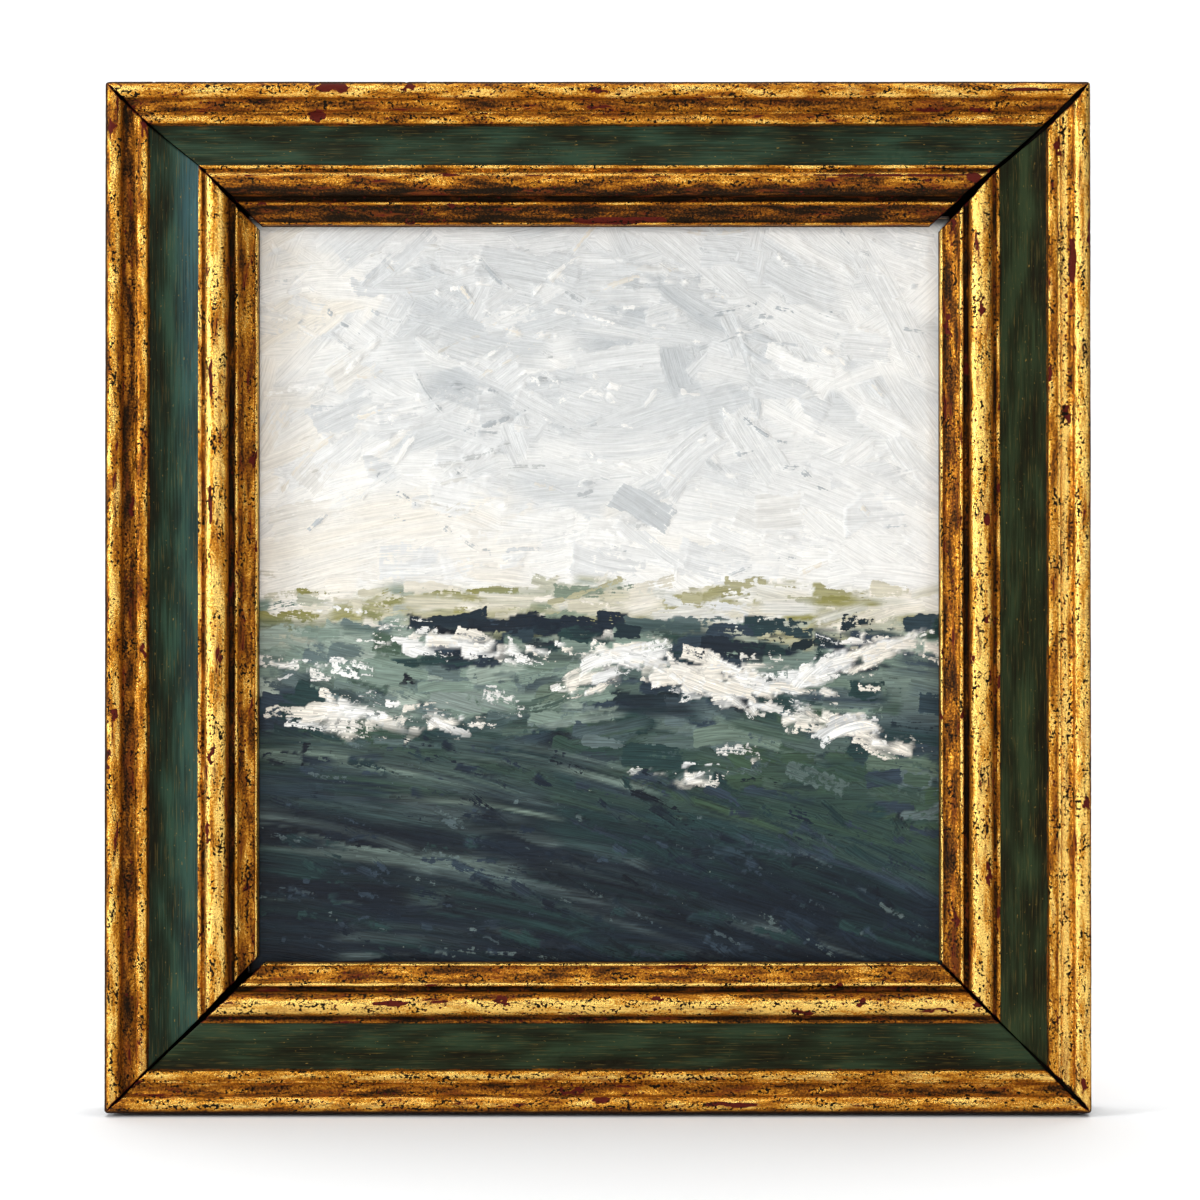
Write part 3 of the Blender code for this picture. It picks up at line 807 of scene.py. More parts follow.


# %% [markdown]
# ## Gilding and green frieze
#
# Gold leaf is laid on red clay bole over gesso, then rubbed and toned. So the material is built the same
# way: bright leaf where it was burnished, ochre where it is rubbed, brown toning in the hollows, red bole
# where the leaf is gone, and black specks and short worm-like cracks that reach the gesso. Painted shade
# darkens the hollows and some bands further, and painted highlight lightens the crests and other bands. The
# frieze is thin green paint with lengthwise brush streaks, over a dark ground, with flecks of leaf, painted
# shade at its outer side and, mostly on the left rail, a painted cool sheen.

# %% Gilded moulding
LEAF = srgb(255, 210, 112)
LEAF_RUBBED = srgb(208, 140, 42)
OCHRE = srgb(146, 84, 22)
TONING = srgb(82, 44, 11)
TONING_DARK = srgb(24, 12, 5)
BOLE = srgb(86, 22, 18)
BOLE_THIN = srgb(138, 66, 22)
SPECK = srgb(14, 9, 6)
GREEN = srgb(24, 41, 31)
GREEN_PALE = srgb(42, 68, 54)
GREEN_DARK = srgb(13, 18, 13)
GREEN_SHEEN = srgb(62, 98, 104)
OLIVE_BROWN = srgb(104, 88, 44)
FLECK = srgb(164, 132, 62)
SMOKE = (1.0, 0.70, 0.46, 1)
EDGE_TINT = (1.0, 0.80, 0.50)
STAIN = srgb(62, 38, 26)
BARE_WOOD = srgb(176, 138, 94)
BARE_WOOD_DARK = srgb(146, 108, 68)


def leaf_colour(finish, place, mottle):
    """Leaf, rubbed leaf and toning, by a fine mottle, broad clouds, and the toning with painted shade and
    highlight.
    """
    clouds = finish.grain(place, (0.05, 0.26, 0), detail=2.0)
    value = mottle * 0.60 + clouds * 0.80 - finish.attribute("toning_and_light") * 0.30
    stops = [(0.34, TONING_DARK), (0.48, TONING), (0.60, OCHRE), (0.74, LEAF_RUBBED), (0.93, LEAF)]
    return finish.ramp(value, stops), value


def speck_mask(finish, place, mottle):
    """Small ragged specks in clusters: the peaks of a noise, more of them where a slow noise allows."""
    peaks = finish.grain(place, (0.62, 0.8, 0), detail=1.0)
    where = finish.grain(place, (0.08, 0.26, 0), detail=1.0)
    return finish.step(peaks + where * 0.7 - mottle * 0.35, 0.845, 0.89)


def worm_mask(finish, place, mottle):
    """Short winding cracks along the rail: where a noise crosses its middle, in a few patches."""
    winding = finish.grain(place, (0.16, 0.46, 0), detail=2.0, rough=0.6) + mottle * 0.16
    from_middle = finish.maths("ABSOLUTE", winding - 0.58, 0.0)
    where = finish.step(finish.grain(place, (0.055, 0.36, 0), detail=1.0), 0.56, 0.62)
    return finish.step(from_middle, 0.022, 0.010) * where


def frieze_colour(finish, place, streaks):
    """Green paint dragged along the rail, with painted shade at its outer side under the proud outer
    moulding, and rubbed streaks and flecks.
    """
    clouds = finish.grain(place, (0.03, 0.12, 0), detail=1.0)
    # Painted shade: the green is darker at the frieze's outer side, where the outer moulding stands proud
    inner = finish.step(finish.attribute("frieze_share"), 0.0, 0.6)
    value = streaks * 0.6 + clouds * 0.8 + inner * 0.16
    painted = finish.ramp(value, [(0.55, GREEN_DARK), (0.78, GREEN), (1.0, GREEN_PALE)])
    # Painted cool sheen: a reflection laid into the green along its streaks
    painted = finish.mixed(finish.attribute("painted_sheen") * (streaks * 1.4), painted, GREEN_SHEEN)
    painted = finish.mixed(finish.attribute("smoked"), painted, SMOKE, how="MULTIPLY")
    scratches = finish.step(finish.grain(place, (0.06, 2.2, 0), detail=2.0, rough=0.75), 0.60, 0.74)
    flecks = finish.step(finish.grain(place, (0.40, 1.3, 0), detail=2.0), 0.755, 0.80)
    painted = finish.mixed(scratches * 0.55, painted, OLIVE_BROWN)
    return finish.mixed(flecks * 0.8, painted, FLECK)


def gilded_moulding():
    """The rails' finish: leaf, bole, specks, frieze, stained sides and bare back, with painted shade,
    highlight and sheen, chosen by attributes.
    """
    finish = Finish("gilded_moulding", specular=0.14)
    place = finish.attribute("place", "Vector")
    mottle = finish.grain(place, (0.85, 1.1, 0), detail=2.0, rough=0.8)
    streaks = finish.grain(place, (0.03, 1.3, 0), detail=3.0, rough=0.65)
    leaf, tone = leaf_colour(finish, place, mottle)
    lost = finish.grain(place, (0.042, 0.22, 0), detail=3.0, rough=0.62) + mottle * 0.08
    bole = finish.step(lost, 0.735, 0.75).larger(finish.step(finish.attribute("broken"), 0.4, 0.6))
    holes = speck_mask(finish, place, mottle).larger(worm_mask(finish, place, mottle))
    frieze = finish.step(finish.attribute("frieze") + (mottle - 0.5) * 1.2, -0.08, 0.12)
    gilt = finish.attribute("gilt")
    colour = finish.mixed(finish.step(lost, 0.57, 0.72) * 0.5, leaf, BOLE_THIN)
    colour = finish.mixed(bole, colour, BOLE)
    colour = finish.mixed(holes, colour, SPECK)
    colour = finish.mixed(frieze, colour, frieze_colour(finish, place, streaks))
    colour = finish.mixed(gilt, finish.mixed(streaks, STAIN, TONING_DARK), colour)
    bare = finish.ramp(streaks, [(0.3, BARE_WOOD_DARK), (0.7, BARE_WOOD)])
    colour = finish.mixed(finish.attribute("bare"), colour, bare)
    metal = finish.step(tone, 0.44, 0.76) * 0.9 * gilt
    for cover in (bole, holes, frieze):
        metal = metal * (1.0 - cover)
    rough = 0.55 - metal * 0.32 - frieze * 0.12 + (1.0 - gilt) * 0.3
    inputs = {"Base Color": colour, "Metallic": metal, "Roughness": rough, "Specular Tint": EDGE_TINT}
    finish.fill(finish.shader, inputs)
    relief = {0: frieze, 2: mottle * 0.34 - holes * 0.16, 3: streaks * 0.14}
    finish.raised(finish.add("Mix", relief, data_type="FLOAT"), 0.8)
    return finish.material


def mitre_wood():
    """The cut ends in the opened joints: end grain, dark with dust, and made near black as painted shade deep
    in the narrow joints.
    """
    finish = Finish("mitre_wood", 0.85, specular=0.05)
    rings = finish.grain(finish.place(), (900, 900, 900))
    stops = [(0.35, srgb(6, 5, 4)), (0.7, srgb(20, 13, 9))]
    finish.fill(finish.shader, {"Base Color": finish.ramp(rings, stops)})
    return finish.material


moulding_finish, cut_finish = gilded_moulding(), mitre_wood()
for rail in rails.values():
    rail.data.materials.append(moulding_finish)
    rail.data.materials.append(cut_finish)
print("moulding finish has", len(moulding_finish.node_tree.nodes), "nodes")

# %% [markdown]
# ## The painting: how it is laid
#
# The picture is a generic sea under a pale sky, built up as such a picture is: grounds first, then hundreds
# of knife and brush strokes, each a curved band with its own colours, load of paint and raised rim. Wet
# strokes melt into what lies under them. Dry ones keep their own colour and break open, so each grid point
# keeps the colour on top, the colour beneath, and how well the top covers. The material opens a dry stroke by
# those three at a scale much finer than the grid.

# %% Board and paint grid, in mm
PANEL_LOW, PANEL_HIGH = (np.array(corner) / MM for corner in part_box("painted_panel"))
PANEL_WIDTH, PANEL_HEIGHT = PANEL_HIGH[0] - PANEL_LOW[0], PANEL_HIGH[2] - PANEL_LOW[2]
LIP_COVER = 4.5
GRID_STEP = 1.03
columns = round(PANEL_WIDTH / GRID_STEP) + 1
rows = round(PANEL_HEIGHT / GRID_STEP) + 1
# Across and down, measured from the sight edge's upper left corner
paint_x, paint_y = np.meshgrid(
    np.linspace(0, PANEL_WIDTH, columns) - LIP_COVER,
    np.linspace(0, PANEL_HEIGHT, rows) - LIP_COVER,
)
SIGHT_WIDTH, SIGHT_TALL = PANEL_WIDTH - 2 * LIP_COVER, PANEL_HEIGHT - 2 * LIP_COVER
print("paint grid:", columns, "by", rows)

# %% Colours on the palette
WHITE = srgb(242, 240, 235)
CREAM = srgb(235, 228, 215)
PALE_GREY = srgb(222, 222, 220)
CLOUD = srgb(204, 206, 206)
CLOUD_DARK = srgb(178, 182, 184)
SAND = srgb(204, 198, 176)
OLIVE = srgb(142, 138, 80)
SAGE = srgb(122, 140, 128)
PALE_SAGE = srgb(160, 172, 160)
SEA_GREEN = srgb(58, 80, 62)
TEAL = srgb(34, 58, 58)
SLATE = srgb(46, 60, 72)
NAVY = srgb(24, 36, 48)
INK = srgb(14, 22, 32)
GREY_TEAL = srgb(92, 108, 108)


def between_colours(first, second, share):
    """A colour mixed on the palette."""
    return tuple(a + (b - a) * share for a, b in zip(first, second))


def pick(random, palette):
    """One colour of a palette, mixed a little with another of it."""
    first, second = palette[random.integers(len(palette))], palette[random.integers(len(palette))]
    return between_colours(first, second, random.uniform(0, 0.45))


print("navy as light:", [round(part, 4) for part in NAVY])

# %% [markdown]
# ## Strokes on the grid
#
# A stroke is a bent band, wet or dry. Most of what describes it is a number or a range to draw from. Noise
# on its own along and across tears its edges, parts its two colours and skips where the knife runs dry.

# %% Wet and dry strokes
def drawn(random, value):
    """The number itself, or a random one where a range is given."""
    return random.uniform(*value) if isinstance(value, tuple) else value


def bent(random, bend):
    """How much a stroke bends, from the middle and the spread of its kind."""
    return bend[0] + random.normal() * bend[1] if bend else 0.0


def at_corners(values):
    """What a grid holds at its points, for the four corners of each of its faces."""
    return np.stack([values[1:, :-1], values[1:, 1:], values[:-1, 1:], values[:-1, :-1]], 2)


class Canvas:
    """What lies on the board: height at each grid point, and for each face its last stroke's number.

    Each face also has its own colours and cover at its corners. So a stroke ends at a face's edge, hidden by
    its low cover, and doesn't run into the paint beside it.
    """

    def __init__(self, colour):
        self.top = at_corners(colour)
        self.under = self.top.copy()
        self.cover = np.full(self.top.shape[:3], 2.0)
        self.height = np.zeros(paint_x.shape)
        self.last = np.zeros(self.top.shape[:2], int)
        self.strokes = [(0.0, 0.0, 1.0, 0.0, 0.0, 0.0)]

    def window(self, x, y, angle, length, width, bend):
        """The part of the grid under a stroke, with its along and across there."""
        reach = length / 2 + width + 2
        column = np.searchsorted(paint_x[0], (x - reach, x + reach))
        row = np.searchsorted(paint_y[:, 0], (y - reach, y + reach))
        window = (slice(*row), slice(*column))
        dx, dy = paint_x[window] - x, paint_y[window] - y
        along = dx * math.cos(angle) + dy * math.sin(angle)
        across = dy * math.cos(angle) - dx * math.sin(angle) - bend * along**2
        return window, tuple(slice(part.start, part.stop - 1) for part in window), along, across

    def remember(self, faces, laid, x, y, angle, bend, seed):
        """Notes which stroke lies on top, so that bristle marks can follow it."""
        self.last[faces] = np.where(at_corners(laid).max(-1) > 0.4, len(self.strokes), self.last[faces])
        self.strokes.append((x, y, math.cos(angle), math.sin(angle), bend, float(seed)))

    def wet(self, random, x, y, angle, length, width, colours, share, body, seed, bend=None, crisp=0.1):
        """A wet stroke: it melts into the paint below, softly at one side, with a raised edge at the other.

        Its two colours lie beside each other in streaks, as they do on a brush that was dipped in both.
        """
        length, width, share, body = (drawn(random, value) for value in (length, width, share, body))
        bend = bent(random, bend)
        crisp = random.choice(crisp) if isinstance(crisp, tuple) else crisp
        window, faces, along, across = self.window(x, y, angle, length, width, bend)
        if min(along.shape) < 2:
            return
        ragged = smooth_noise(along / 16 + seed, across / 9 + 7 * seed, 3)
        side = across / (width / 2) * (1 + 0.25 * ragged) + 0.15 * ragged
        tip = np.abs(along) / (length / 2) + 0.2 * ragged
        laid = eased(1 - side, 0, crisp) * eased(1 + side, 0, 1.3) * eased(1 - tip, 0, 0.45)
        streak = smooth_noise(along / 45 + seed, across / 1.5 + 3 * seed, 5)
        streak = streak + 0.6 * smooth_noise(along / 70 + seed, across / 4 + seed, 8)
        tone = eased(streak, -0.7, 0.7)[..., None]
        colour = np.array(colours[0]) * (1 - tone) + np.array(colours[1]) * tone
        amount = at_corners((share * laid * (1 + 0.35 * streak)).clip(0, 1))[..., None]
        colour = at_corners(colour)
        self.top[faces] += (colour - self.top[faces]) * amount
        self.under[faces] += (colour - self.under[faces]) * amount
        ridge = np.exp(-(((side - 0.93) / min(0.3, 1.6 / width)) ** 2)) * eased(1 - tip, 0, 0.3)
        raised_by = body * (0.3 + 0.25 * streak + 1.5 * ridge * (0.6 + 0.6 * ragged))
        self.height[window] += (0.5 * self.height[window] + raised_by - self.height[window]) * laid
        self.remember(faces, laid, x, y, angle, bend, seed)

    def dry(self, random, x, y, angle, length, width, colour, load, body, seed, bend=None, dryness=0.6):
        """A dry or loaded stroke with torn edges: it thins to its end, and piles up in a rim at its sides.

        Its colour is given, or picked from a palette.
        """
        length, width = drawn(random, length), drawn(random, width)
        colour = pick(random, colour) if isinstance(colour[0], tuple) else colour
        load, body = drawn(random, load), drawn(random, body)
        bend, dryness = bent(random, bend), drawn(random, dryness)
        window, faces, along, across = self.window(x, y, angle, length, width, bend)
        if min(along.shape) < 2:
            return
        torn = smooth_noise(along / 5 + seed, across / 4 + 7 * seed, 3)
        torn = torn + 0.7 * smooth_noise(along / 2.4, across / 2 + seed, 9)
        wavy = 0.3 * width * smooth_noise(along / 14 + seed, 0 * along + seed, 2)
        side = np.abs(across + wavy) / (width / 2)
        tip = np.abs(along) / (length / 2)
        edge = np.minimum((1.0 - side) * width / 2, (1.0 - tip) * length / 2) + 0.9 * torn
        run = (along / length + 0.5) * dryness
        patchy = smooth_noise(along / 9 + seed, across / 2.6 + seed, 4)
        cover = np.minimum(load - run * load + 0.45 * patchy * dryness, 0.5 + 0.9 * edge)
        shown = eased(self.cover[faces], 0.35, 0.65)[..., None]
        seen = self.under[faces] * (1 - shown) + self.top[faces] * shown
        laid = eased(cover, 0.2, 0.7)
        streak = 1 + 0.10 * smooth_noise(along / 30 + seed, across / 1.5 + 3 * seed, 5)[..., None]
        cover = at_corners(cover)
        near = (cover.max(-1) > -0.1)[..., None]
        self.under[faces] = np.where(near[..., None], seen, self.under[faces])
        self.top[faces] = np.where(near[..., None], at_corners(np.array(colour) * streak), self.top[faces])
        self.cover[faces] = np.where(near, cover, self.cover[faces])
        rim = np.exp(-(((edge - 0.8) / 0.9) ** 2))
        raised_by = body * (0.5 + 0.8 * rim + 0.25 * smooth_noise(along / 24, across / 1.6 + seed, 6))
        self.height[window] += (0.6 * self.height[window] + raised_by - self.height[window]) * laid
        self.remember(faces, laid, x, y, angle, bend, seed)


# %% [markdown]
# ## Grounds of the picture
#
# The picture starts with broad tones, blended down the board: sky, haze, green water and a dark foreground
# whose edge falls to the right.

# %% Grounds
HORIZON = 0.51 * SIGHT_TALL
SEA_FRONT = 0.69 * SIGHT_TALL
SEA_FRONT_FALL = 0.12 * SIGHT_TALL


def front_of_sea(x):
    """Where the dark foreground starts: high at the left, lower at the right."""
    return SEA_FRONT + SEA_FRONT_FALL * eased(x / SIGHT_WIDTH, 0.25, 1.0)


def grounds():
    """Broad tones from top to bottom, blended down the picture, with soft clouds of lighter and darker."""
    level = paint_y + 9 * layered_noise(paint_x / 60, paint_y / 60, 900)
    level = level + 5 * layered_noise(paint_x / 18, paint_y / 18, 910)
    stretch = (SEA_FRONT - HORIZON) / (front_of_sea(paint_x) - HORIZON)
    level = np.where(paint_y > HORIZON, HORIZON + (level - HORIZON) * stretch, level)
    stops = np.array([0, 0.20, 0.36, 0.48, 0.52, 0.56, 0.62, 0.69, 0.75, 1.0]) * SIGHT_TALL
    tones = np.array([PALE_GREY, CLOUD, WHITE, WHITE, SAND, SAGE, SLATE, SEA_GREEN, NAVY, INK])
    colour = np.stack([np.interp(level, stops, tones[:, channel]) for channel in range(3)], -1)
    return colour * (1 + 0.05 * layered_noise(paint_x / 25, paint_y / 12, 920))[..., None]


canvas = Canvas(grounds())
print("horizon at", round(HORIZON), "mm, foreground from", round(SEA_FRONT), "mm below the sight edge")

# %% [markdown]
# ## Sky
#
# The sky is scumbled wet with a wide knife, white over grey and grey over white, so that most passes melt
# into each other and only their last edge stands up as a fine ridge. The passes lean one way at the left and
# the other way at the right. On top lie small torn flecks, where the knife was lifted.

# %% Sky strokes
def sky_palette(random, x, y):
    """Cream at the left, blue grey in the upper middle, palest at the bottom, and broken whites elsewhere."""
    heavy = math.exp(-(((x / SIGHT_WIDTH - 0.48) / 0.30) ** 2) - (((y / SIGHT_TALL - 0.17) / 0.14) ** 2))
    if random.random() < 0.75 * heavy:
        return (CLOUD, CLOUD_DARK, PALE_GREY, CLOUD)
    if x > 0.78 * SIGHT_WIDTH:
        return (WHITE, PALE_GREY, WHITE)
    if x < 0.14 * SIGHT_WIDTH:
        return (CREAM, CREAM, WHITE)
    if y > 0.72 * HORIZON:
        return (WHITE, WHITE, CREAM, PALE_GREY)
    return (PALE_GREY, WHITE, PALE_GREY, CLOUD)


def sky_lean(random, x, y):
    """Angle of a pass: it rises at the left, falls at the right, and is nearly level by the horizon."""
    low = max(0.0, y / HORIZON - 0.5)
    return (-0.5 + 1.1 * x / SIGHT_WIDTH + 0.4 * float(random.normal())) * (1 - 1.3 * low)


def sky(random, count):
    """Wide wet passes all over the sky, each of one colour with a little of a second."""
    for number in range(count):
        x, y = random.uniform(-12, SIGHT_WIDTH + 12), random.uniform(-12, HORIZON * 0.98)
        palette = sky_palette(random, x, y)
        first = pick(random, palette)
        colours = first, between_colours(first, pick(random, palette), 0.4)
        lean = sky_lean(random, x, y)
        canvas.wet(
            random, x, y, lean, (26, 90), (9, 32), colours, (0.4, 0.9), (0.2, 0.6), number + 1,
            bend=(0, 0.0025), crisp=(0.05, 0.5),
        )


def plates(random, count):
    """Flat knife marks with torn ends: low in contrast, seen mostly by their raised edges."""
    for number in range(count):
        x, y = random.uniform(0, SIGHT_WIDTH), random.uniform(0, HORIZON * 0.95)
        colour = between_colours(pick(random, sky_palette(random, x, y)), PALE_GREY, random.uniform(0.2, 0.7))
        lean = sky_lean(random, x, y) + random.normal() * 0.3
        canvas.dry(
            random, x, y, lean, (12, 46), (5, 15), colour, (0.7, 1.3), (0.2, 0.5), 500 + number,
            bend=(0, 0.004), dryness=(0.3, 0.9),
        )


def flecks(random, count):
    """Small torn marks over the sky, mostly white ones in the upper middle."""
    for number in range(count):
        x = random.normal() * 0.26 * SIGHT_WIDTH + 0.5 * SIGHT_WIDTH
        y = random.uniform(0.02, 0.36) * SIGHT_TALL
        colour = pick(random, (WHITE, WHITE, WHITE, PALE_GREY, CLOUD_DARK))
        lean = -0.4 + 1.3 * random.random()
        canvas.dry(
            random, x, y, lean, (2, 11), (1.2, 3.2), colour, (0.5, 0.9), (0.25, 0.6), 700 + number,
            bend=(0, 0.03), dryness=(0.4, 0.9),
        )


def ridges(random, count):
    """Long thin marks where wet paint was pushed up beside a knife: grey or cream, and high."""
    palette = (CLOUD, CLOUD_DARK, CREAM, WHITE)
    for number in range(count):
        x, y = random.uniform(0, SIGHT_WIDTH), random.uniform(0, HORIZON * 0.9)
        lean = sky_lean(random, x, y) + random.normal() * 0.4
        canvas.dry(
            random, x, y, lean, (10, 48), (1.0, 2.0), palette, (0.35, 0.75), (0.4, 0.8), 900 + number,
            bend=(0, 0.008), dryness=0.9,
        )


random = np.random.default_rng(41)
sky(random, 200)
plates(random, 90)
sky(random, 60)
plates(random, 40)
flecks(random, 150)
ridges(np.random.default_rng(77), 110)
print("strokes after the sky:", len(canvas.strokes))

# %% [markdown]
# ## Horizon and open sea
#
# Haze of sand and olive is dragged level along the horizon. Below it the waves are a broken band: dark slate
# wedges, sage and green backs, and foam put on last with a loaded knife that skips over what is dry.

# %% Haze and waves
def haze(random, count):
    """Level strokes along the horizon, half of them wet, olive at the left and sand at the right."""
    for number in range(count):
        x, y = random.uniform(-10, SIGHT_WIDTH + 10), HORIZON + random.normal() * 6 + 1
        left = x < 0.5 * SIGHT_WIDTH
        palette = (OLIVE, OLIVE, SAND, CREAM, SAGE) if left else (SAND, CREAM, PALE_GREY, OLIVE)
        lean, length = random.normal() * 0.14, random.uniform(14, 55)
        if number % 3 == 0:
            colours = pick(random, palette), pick(random, palette)
            canvas.wet(random, x, y, lean, length, (4, 11), colours, 0.8, 0.3, 1000 + number)
        else:
            canvas.dry(
                random, x, y, lean, 0.8 * length, (2, 6.5), palette, (0.5, 1.2), (0.15, 0.4), 1000 + number,
                bend=(0, 0.004),
            )


def waves(random, count):
    """Slanting strokes over the sea: dark wedges in the troughs, sage backs, and greens to the front."""
    for number in range(count):
        x, share_down = random.uniform(-8, SIGHT_WIDTH + 8), random.uniform(0, 1)
        y = HORIZON + 9 + share_down * (float(front_of_sea(x)) - HORIZON - 4)
        trough = math.sin(x / 24 + y / 8) + 0.8 * math.sin(x / 61 - y / 13)
        if trough > 0.25:
            palette = (SLATE, NAVY, TEAL, INK, TEAL)
        elif share_down > 0.7:
            palette = (TEAL, SEA_GREEN, SLATE, SEA_GREEN, GREY_TEAL)
        elif x < 0.5 * SIGHT_WIDTH:
            palette = (SAGE, PALE_SAGE, GREY_TEAL, SAGE, SEA_GREEN)
        else:
            palette = (TEAL, SEA_GREEN, GREY_TEAL, SLATE, SAGE)
        lean = 0.16 * math.sin(x / 33 + 1.0) + random.normal() * 0.15 + 0.06
        lean = lean * min(1.0, 0.3 + 2 * share_down)
        length, width = random.uniform(14, 52), random.uniform(4, 13)
        if number % 4 == 0:
            colours = pick(random, palette), pick(random, palette)
            canvas.wet(random, x, y, lean, length, width, colours, 0.75, 0.3, 2000 + number)
        else:
            canvas.dry(
                random, x, y, lean, 0.8 * length, 0.75 * width, palette, (0.6, 1.5), (0.15, 0.45),
                2000 + number, bend=(0, 0.006), dryness=(0.3, 1.0),
            )


# Across and down as shares of the sight, length in mm, lean, and how many strokes
CRESTS = [
    (0.32, 0.570, 80, 0.20, 30), (0.66, 0.60, 90, 0.12, 56), (0.90, 0.575, 44, -0.25, 40),
    (0.20, 0.665, 76, 0.12, 34), (0.76, 0.650, 80, 0.26, 34), (0.48, 0.625, 40, -0.10, 8),
    (0.66, 0.735, 60, -0.16, 14), (0.06, 0.60, 26, 0.05, 6), (0.90, 0.70, 30, 0.3, 8),
]


def foam(random):
    """Broken whites in drifts along the wave crests: long thin drags, and some wide knife marks."""
    number = 3000
    palette = (WHITE, WHITE, CREAM, CREAM, PALE_GREY)
    for across, down, spread, lean, count in CRESTS:
        for _ in range(count):
            number += 1
            offset = random.normal() * spread * 0.36
            x = across * SIGHT_WIDTH + offset
            y = down * SIGHT_TALL + offset * math.tan(lean) + random.normal() * 3.0
            length, width = ((14, 36), (4, 9)) if random.random() < 0.3 else ((4, 22), (1.2, 3.2))
            turn = lean + random.normal() * 0.2
            canvas.dry(
                random, x, y, turn, length, width, palette, (0.40, 0.90), (0.3, 0.7), number,
                bend=(0, 0.010), dryness=(0.3, 0.9),
            )


haze(random, 130)
waves(random, 360)
foam(random)
print("strokes after the foam:", len(canvas.strokes))

# %% [markdown]
# ## Foreground
#
# The nearest water is one dark, heavy body of paint, swept from the left down to the lower right with a wide
# bristle brush. The sweeps are long and bent and were laid wet into wet: ink and navy, with grey teal that
# the bristles carried along in streaks. A few thin dry drags and spattered drops lie on top.

# %% Foreground strokes
def swell(random, count):
    """Long wet sweeps that fall to the lower right, lit by grey teal in the left middle."""
    for number in range(count):
        x = random.uniform(-15, SIGHT_WIDTH + 15)
        top = float(front_of_sea(x))
        y = random.uniform(top + 1, SIGHT_TALL + 8)
        low = (y - top) / (SIGHT_TALL - top)
        lit = math.exp(-(((x / SIGHT_WIDTH - 0.30) / 0.30) ** 2) - (((low - 0.45) / 0.28) ** 2))
        if random.random() < 0.75 * lit:
            colours = pick(random, (NAVY, INK)), pick(random, (GREY_TEAL, GREY_TEAL, SAGE, TEAL))
        elif low > 0.25:
            colours = pick(random, (INK, INK, NAVY)), pick(random, (NAVY, INK, INK, TEAL))
        else:
            colours = pick(random, (NAVY, TEAL)), pick(random, (SLATE, SEA_GREEN, TEAL))
        lean = 0.07 + 0.30 * x / SIGHT_WIDTH + random.normal() * 0.05
        canvas.wet(
            random, x, y, lean, (60, 170), (6, 20), colours, (0.6, 0.95), (0.12, 0.35), 4000 + number,
            bend=(0.0011, 0.0006), crisp=(0.08, 0.4),
        )


def glints(random, count):
    """Thin pale drags and small drops over the dark water."""
    palette = (GREY_TEAL, SLATE, SLATE)
    for number in range(count):
        drop = random.random() < 0.12
        x = random.uniform(0, SIGHT_WIDTH)
        y = random.uniform(float(front_of_sea(x)) + 4, SIGHT_TALL)
        lean = 0.2 + 0.3 * x / SIGHT_WIDTH + random.normal() * 0.12
        if drop:
            size, paint = ((1.1, 1.5), (1.0, 1.3)), (1.2, 0.35)
        else:
            size, paint = ((10, 60), (0.9, 2.0)), ((0.3, 0.55), 0.15)
        dryness = 0.1 if drop else 0.9
        canvas.dry(random, x, y, lean, *size, palette, *paint, 5000 + number, dryness=dryness)


def ripples(random, count):
    """Short dry touches along the sweeps, dark on dark, that break them up."""
    palette = (INK, NAVY, SLATE, TEAL, NAVY)
    for number in range(count):
        x = random.uniform(0, SIGHT_WIDTH)
        y = random.uniform(float(front_of_sea(x)) + 2, SIGHT_TALL)
        lean = 0.12 + 0.45 * x / SIGHT_WIDTH + random.normal() * 0.15
        canvas.dry(
            random, x, y, lean, (7, 30), (1.3, 4.5), palette, (0.35, 0.8), (0.2, 0.5), 6000 + number,
            bend=(0, 0.01), dryness=(0.5, 1.0),
        )


swell(random, 170)
ripples(random, 260)
glints(random, 90)
print("strokes in all:", len(canvas.strokes))

# %% [markdown]
# ## The painted board as one closed piece
#
# The front of the board is the paint grid, raised by the paint. The grid stops at the board's edges, and one
# ring of faces closes it down to the chamfered back. Each face remembers the stroke on top, so that bristle
# marks can follow it: along and across are worked out at all the corners from that stroke's own place.

# %% Painted board
PAINT_LEVEL = 13.0
BOARD_CHAMFER = 1.5
# The dark brown towards which the board's margin under the lip is darkened
MARGIN_DARK = srgb(34, 27, 20)


def stroke_places(faces):
    """For each face corner: along and across the last stroke on that face, moved apart by its seed."""
    table = np.array(canvas.strokes)
    x, y, cos, sin, bend, seed = table[canvas.last.ravel()].T[:, :, None]
    dx, dy = paint_x.ravel()[faces] - x, paint_y.ravel()[faces] - y
    along = dx * cos + dy * sin
    across = dy * cos - dx * sin - bend * along**2
    return np.stack([along + 37.7 * seed, across + 11.3 * seed, 0 * along], -1)


